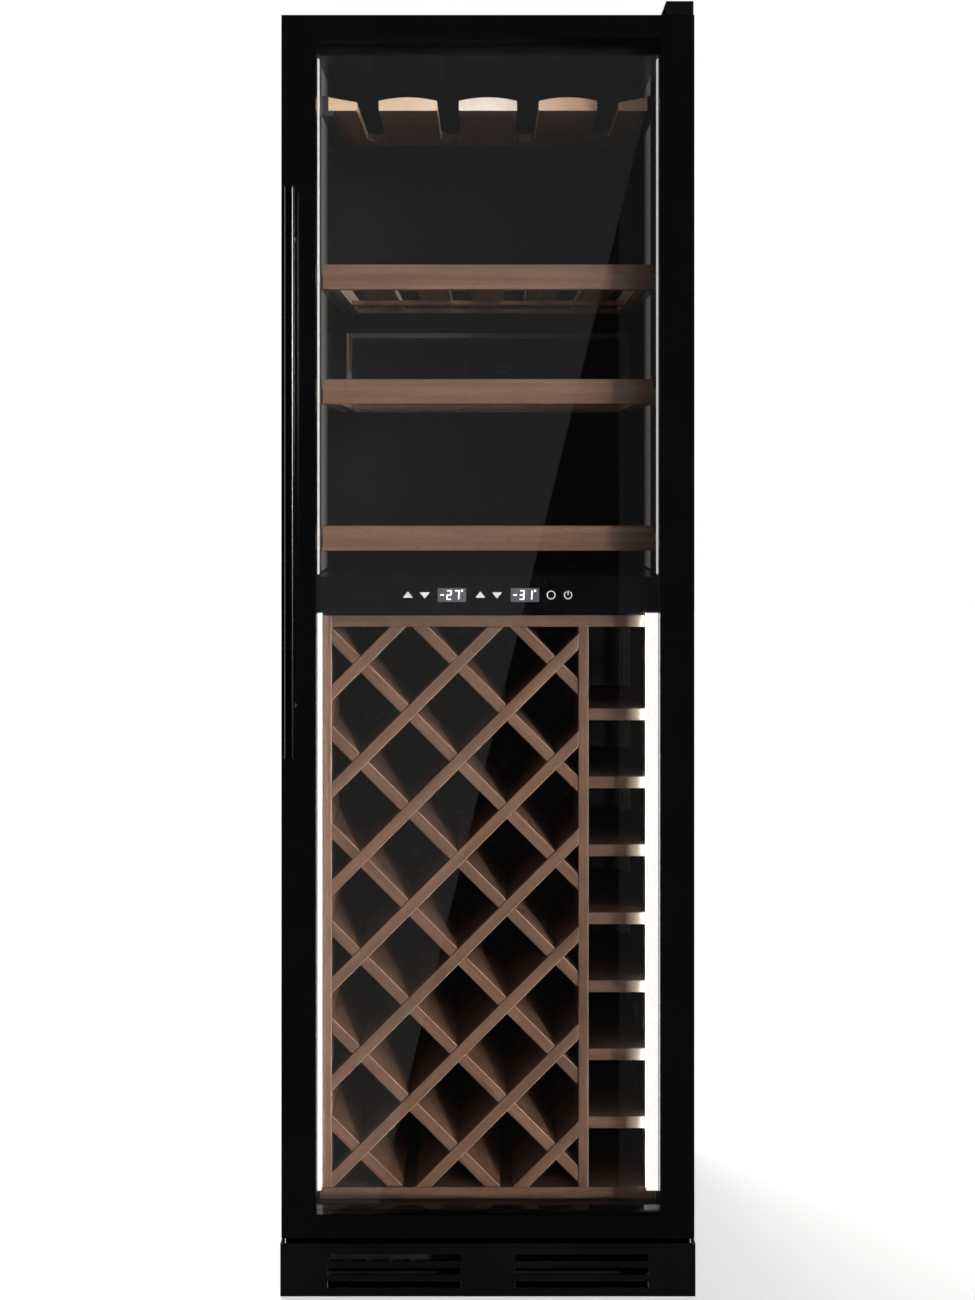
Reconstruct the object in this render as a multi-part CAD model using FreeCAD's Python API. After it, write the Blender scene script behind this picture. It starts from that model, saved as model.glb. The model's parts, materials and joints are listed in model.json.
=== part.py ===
"""Built-in two-zone wine cooler, in millimetres.

X is the width, to the right as one faces the door. The front is at minus Y, and Z is up.
The origin is on the floor, under the middle of the whole cooler.
"""
import FreeCAD, Part
import math
import os

from FreeCAD import Vector

# Whole cooler
CABINET_WIDTH = 590.0
CABINET_DEPTH = 605.0
CABINET_TOP = 1840.0
SHEET = 1.2                 # painted steel of the outer panels and the back
CUT = 5.0                   # overrun of every cut past the faces it goes through
SEAT = 0.3                  # gap between pieces that only rest beside each other

# Door
DOOR_OVERHANG = 1.0         # door past the cabinet on each side
DOOR_TOP_INSET = 2.0        # door's upper edge below the cabinet top
DOOR_THICKNESS = 41.0
DOOR_GAP = 5.0              # between the closed door frame and the cabinet front
DOOR_STILE = 49.0           # width of the upright profiles
DOOR_RAIL = 33.5            # height of the top and bottom profiles
OUTER_GLASS = 5.0
INNER_GLASS = 4.0
GLASS_CORNER = 2.5
FRAME_FRONT_DEPTH = 15.5    # deep part of the frame between the two panes
GLASS_REBATE = 14.0         # how far the inner pane laps onto the frame
GASKET_INSET = 14.5         # gasket's outer edge behind the edge of the door
GASKET_WIDTH = 13.0
GASKET_BARB_WIDTH = 4.0
GASKET_BARB_DEPTH = 6.0
GASKET_BOTTOM_INSET = 5.0   # the same at the door's low top and bottom rails

# Handle
HANDLE_REACH = 32.0         # from the glass to the front of the bar
HANDLE_BAR_WIDTH = 14.0
HANDLE_BAR_DEPTH = 14.0
HANDLE_EDGE = 8.0           # from the door's edge to the bar
HANDLE_BELOW_TOP = 251.0    # from the door's upper edge to the bar
HANDLE_LENGTH = 810.0
HANDLE_ROUND = 4.0
HANDLE_POST_RADIUS = 5.0
HANDLE_POST_INSET = 70.0
HANDLE_SCREW_RADIUS = 2.5
HANDLE_SCREW_LENGTH = 14.0

# Hinges
HINGE_EDGE = 9.5            # from the door's edge in to the hinge axis
HINGE_BACK = 16.0           # from the door's front back to the hinge axis
HINGE_PIN_RADIUS = 4.0
PIN_CLEARANCE = 0.05
PIN_LENGTH = 17.0
BUSH_RADIUS = 7.0
BUSH_LENGTH = 20.0
BUSH_FLANGE_RADIUS = 9.0
BUSH_FLANGE = 1.2
BRACKET_THICKNESS = 3.5
BRACKET_WIDTH = 35.5
BRACKET_BESIDE_PIN = 7.0    # from the hinge axis to the bracket's outer edge
BRACKET_BEFORE_PIN = 6.0
BRACKET_SCREW_INSET = 8.0
TOP_BRACKET_REAR = 60.0     # lap of the top bracket onto the cabinet
BRACKET_LEG = 42.0          # height of the lower bracket's screwed leg
SCREW_RADIUS = 2.4
SCREW_HEAD_RADIUS = 4.2
SCREW_HEAD = 2.2
SCREW_LENGTH = 14.0
CAP_HEIGHT = 20.0
CAP_WALL = 1.8
CAP_ROUND = 1.2
CAP_FIN = 1.4               # thin slanted fin beside the cap
CAP_FIN_LEAN = 7.5

# Base, kick plate and feet
FOOT_GAP = 14.0             # floor to the underside of the base pan
PAN_SHEET = 2.0
PAN_SIDE = 40.0
FOOT_RADIUS = 20.0
FOOT_DISC = 9.0
FOOT_STEM_RADIUS = 5.0
FOOT_STEM_TOP = 46.0
FOOT_INSET_X = 45.0
FOOT_INSET_FRONT = 40.0
FOOT_INSET_REAR = 40.0
BOSS_RADIUS = 9.5
BOSS_HEIGHT = 26.0
KICK_OVERHANG = 2.5         # kick plate past the cabinet on each side
KICK_BOTTOM = 2.0
KICK_TOP = 78.0
KICK_GAP = 7.0              # between kick plate and door
KICK_SHEET = 2.0
KICK_CLIP_WIDTH = 40.0
KICK_CLIP_HEIGHT = 20.0
SLOT_LENGTH = 191.0
SLOT_HEIGHT = 9.8
SLOT_PITCH = 19.3
SLOT_LOWEST = 14.0
SLOT_CENTRE = 134.2         # middle of each block of slots from the centre line
SLOT_ROWS = 3

# Insulated body
FOAM_BOTTOM = 68.0
MACHINE_DEPTH = 205.0
MACHINE_TOP = 262.0
LINER = 1.5
SIDE_WALL = 45.0            # steel, foam and liner together
BACK_WALL = 55.0
FLOOR_WALL = 40.5
CEILING_WALL = 51.0
DIVIDER_WALL = 53.0         # between the two zones
STEP_WALL = 40.0            # foam over and in front of the machine space
ANTI_TIP_SPACING = 400.0
ANTI_TIP_RADIUS = 2.1
ANTI_TIP_DEPTH = 16.0
ANTI_TIP_INSET = 30.0

# Control panel
FASCIA_THICKNESS = 4.5
FASCIA_SIDE_GAP = 1.0
BOARD_WIDTH = 250.0
BOARD_HEIGHT = 30.0
BOARD_THICKNESS = 1.6
BOARD_POCKET = 14.0
DISPLAY_WIDTH = 40.0
DISPLAY_HEIGHT = 20.0
DISPLAY_DEPTH = 6.0
LEFT_DISPLAY_X = -52.0
RIGHT_DISPLAY_X = 54.0

# Lights
LIGHT_THICKNESS = 3.5
LIGHT_SETBACK = 4.0
UPPER_LIGHT_DEPTH = 12.0
LOWER_LIGHT_DEPTH = 20.0
LOWER_LIGHT_AHEAD = 15.0    # the lower strips stand this far in front of the rack
LIGHT_END_GAP = 3.0
LIGHT_SIDE_PLAY = 1.0       # between a lower strip and the rack's boards

# Sliding shelves
SHELF_SIDE_GAP = 4.5        # between the shelf front and the side wall
SHELF_SETBACK = 41.0        # from the cabinet front to the shelf front
SHELF_FRONT_HEIGHT = 37.0
SHELF_FRONT_THICKNESS = 18.0
SHELF_FRONT_ROUND = 1.5
GLASS_ROOM = 274.0          # from the glass rack down to the underside of the top shelf
SHELF_1_DROP = 169.5        # from the top shelf down to the middle one
SHELF_2_DROP = 217.0        # from the middle shelf down to the lowest
SHELF_3_RISE = 35.5         # from the zone's floor to the lowest shelf
SHELF_BACK_GAP = 31.0       # between the shelf and the duct panel
SLAT_WIDTH = 50.0
SLAT_EDGE = 39.0            # from the deck's side to the first slat
SLAT_COUNT = 5
SLAT_THICKNESS = 12.0
CROSS_BAR_WIDTH = 22.0
CROSS_BAR_HEIGHT = 7.5
MIDDLE_BAR_BACK = 260.0     # from the shelf front to the middle cross bar
DECK_RAISE = 1.0
DECK_RAIL_WIDTH = 12.0
DECK_RAIL_HEIGHT = 24.0
DECK_SIDE_GAP = 17.0        # between the deck and the side wall
RUNNER_HEIGHT = 22.0
RUNNER_WALL = 1.6
RUNNER_WIDTH = 11.0
RUNNER_PLAY = 0.4
RUNNER_LIP = 3.5
RUNNER_BACK_GAP = 12.0      # the channel and the slide end this far before the deck does
SLIDE_WEB = 2.2

# Bottle rest on the middle shelf
REST_BACK = 296.0           # from the shelf front to the rest
REST_SECTION = 9.0
REST_BAR_HEIGHT = 8.0
REST_HEIGHT = 102.5         # above the deck's side rails

# Glass rack
GLASS_RACK_SIDE_GAP = 10.0
GLASS_RACK_DEPTH = 290.0
GLASS_RACK_SETBACK = 88.0
GLASS_RACK_DROP = 62.0      # from the ceiling to the rack's underside
GLASS_RACK_CROWN = 20.0     # thickness at the top of each arch
GLASS_RACK_THIN = 9.5       # thickness beside each slot
GLASS_SLOT_WIDTH = 33.0
GLASS_SLOT_EDGE = 59.1      # from the rack's side to the middle of the first slot
GLASS_SLOT_COUNT = 4
GLASS_SLOT_BACK = 40.0      # solid wood behind each slot
GLASS_RAIL_LEDGE = 8.0
GLASS_RAIL_THICKNESS = 8.0
GLASS_RAIL_ABOVE = 22.0

# Bottle rack
RACK_LEFT_GAP = 6.0
RACK_RIGHT_GAP = 18.0
RACK_BASE_GAP = 1.5         # between each end of the base board and the side wall
RACK_SETBACK = 39.0
RACK_BACK_GAP = 31.0        # between the rack and the raised step
RACK_TOP_GAP = 6.5
RACK_RAIL = 17.3
RACK_SIDE = 13.0
CUBBY_WIDTH = 83.2
DIVIDER_THICKNESS = 14.8
BOARD = 16.9                # lattice board thickness
LATTICE_PITCH = 144.2       # vertical distance between like boards
RISING_HEIGHT = 132.7       # where the top rising board would cross X = 0, above the top rail's underside
FALLING_HEIGHT = 43.9       # the same for the top falling board
FALLING_SETBACK = 3.0
LAP_PLAY = 0.4
CUBBY_DROP = 120.7          # from the top rail's underside to the highest small shelf's upper face
CUBBY_PITCH = 100.5
CUBBY_THICKNESS = 17.6
REAR_POST_WIDTH = 14.0
REAR_POST_DEPTH = 18.0

# Air ducts, evaporators and their fans
DUCT_DEPTH = 48.0
DUCT_WALL = 2.0
DUCT_SIDE_GAP = 1.0
DUCT_SLOT_LENGTH = 70.0
DUCT_SLOT_HEIGHT = 5.0
DUCT_SLOT_PITCH = 11.0
DUCT_SLOT_ROWS = 6
RETURN_SLOT_LENGTH = 180.0
RETURN_SLOT_RISE = 22.0
RETURN_SLOT_ROWS = 3
EVAPORATOR_SIDE_GAP = 60.0
EVAPORATOR_HEIGHT = 150.0
EVAPORATOR_DEPTH = 26.0
EVAPORATOR_PLATE = 1.6
EVAPORATOR_FINS = 19
EVAPORATOR_TUBE_RADIUS = 4.0
EVAPORATOR_PASSES = 5
EVAPORATOR_BRACKET = 14.0
UPPER_EVAPORATOR_RISE = 99.0     # above the zone's floor
UPPER_FAN_RISE = 354.0
LOWER_EVAPORATOR_DROP = 378.0    # below the zone's ceiling
LOWER_FAN_DROP = 98.0
FAN_SIZE = 92.0
FAN_DEPTH = 25.0
FAN_BORE_RADIUS = 43.0
CONDENSER_FAN_SIZE = 160.0
CONDENSER_FAN_DEPTH = 34.0
CONDENSER_FAN_BORE_RADIUS = 72.0
FAN_TIP_GAP = 1.5
FAN_HUB_RADIUS = 16.0
FAN_HUB_WALL = 2.0
FAN_BLADES = 7
FAN_BLADE_THICKNESS = 1.6
FAN_BLADE_ANGLE = 32.0
FAN_PLATE = 2.5
FAN_ARM_WIDTH = 6.0
FAN_SHAFT_RADIUS = 1.6

# Machine space
COMPRESSOR_INSET = 145.0    # from the cabinet's side to the compressor's axis
COMPRESSOR_RADIUS = 70.0
COMPRESSOR_HEIGHT = 150.0
COMPRESSOR_ROUND = 26.0
COMPRESSOR_BAND = 4.0
COMPRESSOR_BAND_HEIGHT = 6.0
COMPRESSOR_FOOT = 3.0
COMPRESSOR_FOOT_X = 180.0
COMPRESSOR_FOOT_Y = 130.0
GROMMET_RADIUS = 12.0
GROMMET_HEIGHT = 14.0
GROMMET_INSET = 14.0
TERMINAL_WIDTH = 40.0
TERMINAL_HEIGHT = 52.0
TERMINAL_DEPTH = 22.0
TRAY_LIFT = 8.0
TRAY_HEIGHT = 26.0
TRAY_WALL = 2.0
TRAY_LAP = 6.0
TRAY_LEG = 8.0
CONDENSER_INSET = 60.0      # from the cabinet's side to the coil
CONDENSER_WIDTH = 195.0
CONDENSER_FAN_OFFSET = 150.0     # from the compressor's axis to the fan
CONDENSER_FRONT_GAP = 16.0
CONDENSER_LENGTH = 330.0
CONDENSER_TUBE_RADIUS = 3.0
CONDENSER_PASSES = 12
CONDENSER_ROWS = 2
CONDENSER_PLATE = 1.6
CONDENSER_HEIGHT = 36.0
PIPE_RADIUS = 4.0
PIPE_WALL = 1.0
PIPE_BEND = 18.0
DRIER_RADIUS = 10.0
DRIER_LENGTH = 90.0
DRIER_NECK = 20.0
DRAIN_RADIUS = 6.0
DRAIN_WALL = 1.5
DRAIN_RISE = 14.0
DRAIN_OFFSET = 60.0         # from the compressor's axis to the drain tube
MAIN_BOX_WIDTH = 150.0
MAIN_BOX_DEPTH = 44.0
MAIN_BOX_HEIGHT = 110.0
MAIN_BOX_WALL = 2.0
MAIN_BOX_INSET = 40.0
INLET_WIDTH = 48.0
INLET_HEIGHT = 28.0
INLET_DEPTH = 24.0
INLET_WALL = 2.5
INLET_BLADE = 2.0
INLET_INSET = 55.0          # from the cabinet's side to the middle of the inlet
INLET_FLANGE = 5.0
INLET_PLATE = 2.0
REAR_COVER_SHEET = 1.2
REAR_COVER_SLOT = 6.0
REAR_COVER_SLOT_PITCH = 16.0
REAR_COVER_SLOT_ROWS = 9
REAR_COVER_SLOT_SIDE = 73.8      # from the cover's side to the right block of slots
REAR_COVER_SLOT_GAP = 26.0       # from the inlet to the left block of slots
REAR_COVER_BRIDGE = 10.0         # between the two blocks
REAR_COVER_LAP = 10.0
SENSOR_RADIUS = 4.0
SENSOR_LENGTH = 28.0
SENSOR_CLIP = 12.0          # length of the clip along the probe
SENSOR_SIDE_GAP = 40.0
SENSOR_RISE = 120.0

# Places worked out from the sizes above
HANDLE_FRONT = -(HANDLE_REACH + DOOR_THICKNESS + DOOR_GAP + CABINET_DEPTH) / 2
DOOR_FRONT = HANDLE_FRONT + HANDLE_REACH
GLASS_BACK = DOOR_FRONT + OUTER_GLASS
DOOR_BACK = DOOR_FRONT + DOOR_THICKNESS
FLANGE = DOOR_BACK + DOOR_GAP
REAR = FLANGE + CABINET_DEPTH
CABINET_HALF = CABINET_WIDTH / 2
BODY_HALF = CABINET_HALF - SHEET
KICK_HALF = CABINET_HALF + KICK_OVERHANG
DOOR_HALF = CABINET_HALF + DOOR_OVERHANG
DOOR_BOTTOM = KICK_TOP + KICK_GAP
DOOR_TOP = CABINET_TOP - DOOR_TOP_INSET
WINDOW_HALF = DOOR_HALF - DOOR_STILE
WINDOW_BOTTOM = DOOR_BOTTOM + DOOR_RAIL
WINDOW_TOP = DOOR_TOP - DOOR_RAIL
HANDLE_BOTTOM = DOOR_TOP - HANDLE_BELOW_TOP - HANDLE_LENGTH
AXIS_X = DOOR_HALF - HINGE_EDGE
AXIS_Y = DOOR_FRONT + HINGE_BACK
LINER_HALF = CABINET_HALF - SIDE_WALL
LINER_BACK = REAR - BACK_WALL
UPPER_CEILING = CABINET_TOP - CEILING_WALL
GLASS_RACK_BOTTOM = UPPER_CEILING - GLASS_RACK_DROP
SHELF_1_BOTTOM = GLASS_RACK_BOTTOM - GLASS_ROOM
SHELF_2_BOTTOM = SHELF_1_BOTTOM - SHELF_1_DROP
SHELF_3_BOTTOM = SHELF_2_BOTTOM - SHELF_2_DROP
UPPER_FLOOR = SHELF_3_BOTTOM - SHELF_3_RISE
LOWER_CEILING = UPPER_FLOOR - DIVIDER_WALL
LOWER_FLOOR = FOAM_BOTTOM + FLOOR_WALL
UPPER_EVAPORATOR_Z = UPPER_FLOOR + UPPER_EVAPORATOR_RISE
UPPER_FAN_Z = UPPER_FLOOR + UPPER_FAN_RISE
LOWER_EVAPORATOR_Z = LOWER_CEILING - LOWER_EVAPORATOR_DROP
LOWER_FAN_Z = LOWER_CEILING - LOWER_FAN_DROP
MACHINE_FRONT = REAR - MACHINE_DEPTH
FOAM_BASE = FOAM_BOTTOM + SHEET
STEP_FRONT = MACHINE_FRONT - STEP_WALL
STEP_TOP = MACHINE_TOP + STEP_WALL
PAN_TOP = FOOT_GAP + PAN_SHEET
DUCT_FRONT = LINER_BACK - DUCT_DEPTH
SHELF_FRONT = FLANGE + SHELF_SETBACK
SHELF_BACK = DUCT_FRONT - SHELF_BACK_GAP
SHELF_HALF = LINER_HALF - SHELF_SIDE_GAP
DECK_START = SHELF_FRONT + SHELF_FRONT_THICKNESS
DECK_HALF = LINER_HALF - DECK_SIDE_GAP
RUNNER_START = DECK_START + SEAT
RUNNER_END = SHELF_BACK - RUNNER_BACK_GAP + SEAT
GLASS_RACK_HALF = LINER_HALF - GLASS_RACK_SIDE_GAP
RACK_LEFT = -LINER_HALF + RACK_LEFT_GAP
RACK_RIGHT = LINER_HALF - RACK_RIGHT_GAP
RACK_BASE_HALF = LINER_HALF - RACK_BASE_GAP
RACK_FRONT = FLANGE + RACK_SETBACK
RACK_BACK = STEP_FRONT - RACK_BACK_GAP
RACK_BOTTOM = LOWER_FLOOR
RACK_TOP = LOWER_CEILING - RACK_TOP_GAP
LATTICE_LEFT = RACK_LEFT + RACK_SIDE
LATTICE_BOTTOM = RACK_BOTTOM + RACK_RAIL
LATTICE_TOP = RACK_TOP - RACK_RAIL
DIVIDER_RIGHT = RACK_RIGHT - CUBBY_WIDTH
DIVIDER_LEFT = DIVIDER_RIGHT - DIVIDER_THICKNESS
COMPRESSOR_X = CABINET_HALF - COMPRESSOR_INSET
DRAIN_X = COMPRESSOR_X - DRAIN_OFFSET
CONDENSER_FAN_X = COMPRESSOR_X - CONDENSER_FAN_OFFSET
CONDENSER_LEFT = -CABINET_HALF + CONDENSER_INSET
CONDENSER_RIGHT = CONDENSER_LEFT + CONDENSER_WIDTH
MAIN_BOX_LEFT = -CABINET_HALF + MAIN_BOX_INSET
INLET_X = -CABINET_HALF + INLET_INSET
FASCIA_FRONT = FLANGE - FASCIA_THICKNESS
BOARD_Z = (LOWER_CEILING + UPPER_FLOOR) / 2


def box(x0, x1, y0, y1, z0, z1):
    """A block between two corners."""
    return Part.makeBox(x1 - x0, y1 - y0, z1 - z0, Vector(x0, y0, z0))


def rod(radius, start, end):
    """A round bar from one point to another."""
    run = end.sub(start)
    return Part.makeCylinder(radius, run.Length, start, run)


def tube(radius, wall, start, end):
    """A round tube from one point to another."""
    run = end.sub(start)
    overrun = Vector(run).normalize() * CUT
    return rod(radius, start, end).cut(rod(radius - wall, start.sub(overrun), end.add(overrun)))


def joined(*shapes):
    """One solid from pieces that touch, with the seams between flush faces removed."""
    return shapes[0].fuse(list(shapes[1:])).removeSplitter()


def frame_ring(outer, inner, y0, y1):
    """A rectangular ring between two (x0, x1, z0, z1) outlines."""
    ring = box(outer[0], outer[1], y0, y1, outer[2], outer[3])
    return ring.cut(box(inner[0], inner[1], y0 - CUT, y1 + CUT, inner[2], inner[3]))


def mirrored(shape):
    """The same piece on the other side of the centre line."""
    return shape.mirror(Vector(0, 0, 0), Vector(1, 0, 0))


def bent_rod(points, radius):
    """A round bar along straight runs joined by tangent arcs at the inner points."""
    edges = []
    start = points[0]
    for before, corner, after in zip(points, points[1:], points[2:]):
        back = before.sub(corner).normalize()
        ahead = after.sub(corner).normalize()
        half = back.getAngle(ahead) / 2
        reach = PIPE_BEND / math.tan(half)
        middle = back.add(ahead).normalize() * (PIPE_BEND / math.sin(half) - PIPE_BEND)
        arc_start = corner.add(back * reach)
        arc_end = corner.add(ahead * reach)
        edges.append(Part.LineSegment(start, arc_start).toShape())
        edges.append(Part.Arc(arc_start, corner.add(middle), arc_end).toShape())
        start = arc_end
    edges.append(Part.LineSegment(start, points[-1]).toShape())
    path = Part.Wire(edges)
    along = points[1].sub(points[0])
    section = Part.Wire([Part.makeCircle(radius, points[0], along)])
    return path.makePipeShell([section], True, False)


def save(name, *solids):
    """Write one piece, or a group of like pieces, as a file of its own."""
    shape = solids[0] if len(solids) == 1 else Part.makeCompound(list(solids))
    shape.exportStep(f"parts/{name}.step")


def outer_panels():
    """Painted left side, right side and top of the cabinet."""
    left = box(-CABINET_HALF, -BODY_HALF, FLANGE, REAR, FOOT_GAP, CABINET_TOP)
    top = box(-BODY_HALF, BODY_HALF, FLANGE, REAR, CABINET_TOP - SHEET, CABINET_TOP)
    save("outer_panels", left, mirrored(left), top.cut(anti_tip_holes()).cut(hinge_screw_holes()))


def anti_tip_holes():
    """Two screw holes in the cabinet top for the bracket that ties the cooler to its niche."""
    y = FLANGE + TOP_BRACKET_REAR + ANTI_TIP_INSET
    holes = []
    for x in (-ANTI_TIP_SPACING / 2, ANTI_TIP_SPACING / 2):
        low = Vector(x, y, CABINET_TOP - ANTI_TIP_DEPTH)
        holes.append(rod(ANTI_TIP_RADIUS, low, Vector(x, y, CABINET_TOP + CUT)))
    return holes


def rear_panel():
    """Back sheet, bent forward over the machine space and on under the floor."""
    back = box(-BODY_HALF, BODY_HALF, REAR - SHEET, REAR, MACHINE_TOP, CABINET_TOP - SHEET)
    roof = box(-BODY_HALF, BODY_HALF, MACHINE_FRONT, REAR, MACHINE_TOP, MACHINE_TOP + SHEET)
    wall = box(-BODY_HALF, BODY_HALF, MACHINE_FRONT, MACHINE_FRONT + SHEET,
               FOAM_BOTTOM, MACHINE_TOP + SHEET)
    under = box(-BODY_HALF, BODY_HALF, FLANGE + LINER, MACHINE_FRONT + SHEET, FOAM_BOTTOM, FOAM_BASE)
    save("rear_panel", joined(back, roof, wall, under).cut(service_holes()))


def service_holes():
    """Ways through the back insulation for the drain tube and the two cold pipes."""
    holes = [rod(DRAIN_RADIUS, Vector(DRAIN_X, drain_y(), 0), Vector(DRAIN_X, drain_y(), drain_top()))]
    for floor in (UPPER_FLOOR, STEP_TOP):
        z = floor + DRAIN_RISE
        start = Vector(DRAIN_X, LINER_BACK - CUT, z)
        holes.append(rod(DRAIN_RADIUS, start, Vector(DRAIN_X, drain_y(), z)))
    return holes + [bent_rod(route, PIPE_RADIUS) for route in cold_pipe_routes()]


def drain_y():
    """The drain tube runs in the middle of the back insulation."""
    return (LINER_BACK + LINER + REAR - SHEET) / 2


def drain_top():
    """Closed upper end of the drain tube, above its highest branch."""
    return UPPER_FLOOR + DRAIN_RISE + DRAIN_RADIUS + DRAIN_WALL


def liner_outer(grow):
    """The two moulded cavities, grown outwards by the wall where that is asked for."""
    half = LINER_HALF + grow
    back = LINER_BACK + grow
    upper = box(-half, half, FLANGE, back, UPPER_FLOOR - grow, UPPER_CEILING + grow)
    lower = box(-half, half, FLANGE, back, LOWER_FLOOR - grow, LOWER_CEILING + grow)
    step = box(-half - CUT, half + CUT, STEP_FRONT + grow, back + CUT,
               LOWER_FLOOR - grow - CUT, STEP_TOP - grow)
    return upper, lower.cut(step)


def board_pocket():
    """Recess behind the control panel for its circuit board."""
    half = BOARD_WIDTH / 2 + SEAT
    high = BOARD_HEIGHT / 2 + SEAT
    return box(-half, half, FLANGE - CUT, FLANGE + BOARD_POCKET, BOARD_Z - high, BOARD_Z + high)


def inner_liner():
    """Moulded plastic liner: two cavities and the front flange in one piece."""
    upper, lower = liner_outer(LINER)
    flange = box(-BODY_HALF, BODY_HALF, FLANGE, FLANGE + LINER, FOAM_BASE, CABINET_TOP - SHEET)
    shell = flange.fuse([upper, lower])
    upper_cavity, lower_cavity = liner_outer(0)
    front = box(-LINER_HALF, LINER_HALF, FLANGE - CUT, FLANGE, UPPER_FLOOR, UPPER_CEILING)
    low_front = box(-LINER_HALF, LINER_HALF, FLANGE - CUT, FLANGE, LOWER_FLOOR, LOWER_CEILING)
    shell = shell.cut([upper_cavity, lower_cavity, front, low_front, board_pocket()])
    save("inner_liner", shell.cut(service_holes()).removeSplitter())


def insulation_foam():
    """Foam poured between the liner and the steel, with the raised step at the back."""
    block = box(-BODY_HALF, BODY_HALF, FLANGE + LINER, REAR - SHEET, FOAM_BASE, CABINET_TOP - SHEET)
    machine = box(-BODY_HALF - CUT, BODY_HALF + CUT, MACHINE_FRONT, REAR + CUT,
                  FOAM_BASE - CUT, MACHINE_TOP + SHEET)
    upper, lower = liner_outer(LINER)
    foam = block.cut([machine, upper, lower, board_pocket()])
    foam = foam.cut(service_holes() + anti_tip_holes() + hinge_screw_holes())
    save("insulation_foam", foam.removeSplitter())


def control_panel():
    """Black control panel over the divider, and the board with its two displays."""
    half = LINER_HALF - FASCIA_SIDE_GAP
    panel = box(-half, half, FASCIA_FRONT, FLANGE, LOWER_CEILING, UPPER_FLOOR)
    panel = panel.makeFillet(FASCIA_SIDE_GAP, front_edges(panel, FASCIA_FRONT))
    save("control_fascia", panel)
    board_half = BOARD_WIDTH / 2
    board_high = BOARD_HEIGHT / 2
    board_front = FLANGE + DISPLAY_DEPTH
    board = box(-board_half, board_half, board_front, board_front + BOARD_THICKNESS,
                BOARD_Z - board_high, BOARD_Z + board_high)
    pieces = [board]
    for x in (LEFT_DISPLAY_X, RIGHT_DISPLAY_X):
        pieces.append(box(x - DISPLAY_WIDTH / 2, x + DISPLAY_WIDTH / 2, FLANGE, board_front,
                          BOARD_Z - DISPLAY_HEIGHT / 2, BOARD_Z + DISPLAY_HEIGHT / 2))
    save("display_board", joined(*pieces))


def front_edges(shape, y):
    """The edges that lie in the plane at this Y."""
    return [edge for edge in shape.Edges if edge.BoundBox.YMin > y - SEAT and edge.BoundBox.YMax < y + SEAT]


def base_pan():
    """Steel tray under the machine space, with raised edges and threaded bosses for the feet."""
    side = FOOT_GAP + PAN_SIDE
    floor = box(-BODY_HALF, BODY_HALF, FLANGE, REAR - SHEET, FOOT_GAP, PAN_TOP)
    left = box(-BODY_HALF, -BODY_HALF + PAN_SHEET, FLANGE, REAR - SHEET, FOOT_GAP, side)
    front = box(-BODY_HALF, BODY_HALF, FLANGE, FLANGE + LINER, FOOT_GAP, FOAM_BOTTOM)
    front = front.cut([box(centre - SLOT_LENGTH / 2, centre + SLOT_LENGTH / 2, FLANGE - CUT, FLANGE + CUT,
                           PAN_TOP + PAN_SHEET, FOAM_BOTTOM - PAN_SHEET * 2)
                       for centre in (-SLOT_CENTRE, SLOT_CENTRE)])
    bosses = [rod(BOSS_RADIUS, Vector(x, y, FOOT_GAP), Vector(x, y, FOOT_GAP + BOSS_HEIGHT))
              for x, y in foot_places()]
    bores = [rod(FOOT_STEM_RADIUS + PIN_CLEARANCE, Vector(x, y, 0), Vector(x, y, FOAM_BOTTOM))
             for x, y in foot_places()]
    save("base_pan", joined(floor, left, mirrored(left), front, *bosses).cut(bores))


def foot_places():
    x = CABINET_HALF - FOOT_INSET_X
    front = FLANGE + FOOT_INSET_FRONT
    back = REAR - FOOT_INSET_REAR
    return [(-x, front), (x, front), (-x, back), (x, back)]


def levelling_feet():
    """Four screw feet: a moulded disc on a steel stem that turns in the base pan."""
    names = ("foot_front_left", "foot_front_right", "foot_rear_left", "foot_rear_right")
    for name, (x, y) in zip(names, foot_places()):
        disc = rod(FOOT_RADIUS, Vector(x, y, 0), Vector(x, y, FOOT_DISC))
        rim = [edge for edge in disc.Edges if edge.BoundBox.ZMin > FOOT_DISC - SEAT]
        disc = disc.makeFillet(FOOT_DISC / 4, rim)
        stem = rod(FOOT_STEM_RADIUS, Vector(x, y, FOOT_DISC), Vector(x, y, FOOT_STEM_TOP))
        save(name, joined(disc, stem))


def kick_plate():
    """Front plate below the door, with two blocks of air slots, hung on the base pan."""
    half = KICK_HALF
    face = box(-half, half, DOOR_FRONT, DOOR_FRONT + KICK_SHEET, KICK_BOTTOM, KICK_TOP)
    side = box(-half, -half + KICK_SHEET, DOOR_FRONT, FLANGE - SEAT, KICK_BOTTOM, KICK_TOP)
    slots = []
    for row in range(SLOT_ROWS):
        z = SLOT_LOWEST + row * SLOT_PITCH
        for centre in (-SLOT_CENTRE, SLOT_CENTRE):
            slots.append(box(centre - SLOT_LENGTH / 2, centre + SLOT_LENGTH / 2,
                             DOOR_FRONT - CUT, DOOR_FRONT + KICK_SHEET + CUT, z, z + SLOT_HEIGHT))
    ledge = box(-AXIS_X + BRACKET_WIDTH, AXIS_X - BRACKET_WIDTH, DOOR_FRONT, FLANGE - KICK_SHEET,
                KICK_TOP - KICK_SHEET, KICK_TOP)
    low = FOOT_GAP + KICK_CLIP_HEIGHT
    clip = box(-KICK_CLIP_WIDTH / 2, KICK_CLIP_WIDTH / 2, DOOR_FRONT, FLANGE, low, low + KICK_SHEET)
    save("kick_plate", joined(face.cut(slots), side, mirrored(side), ledge, clip))


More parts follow.
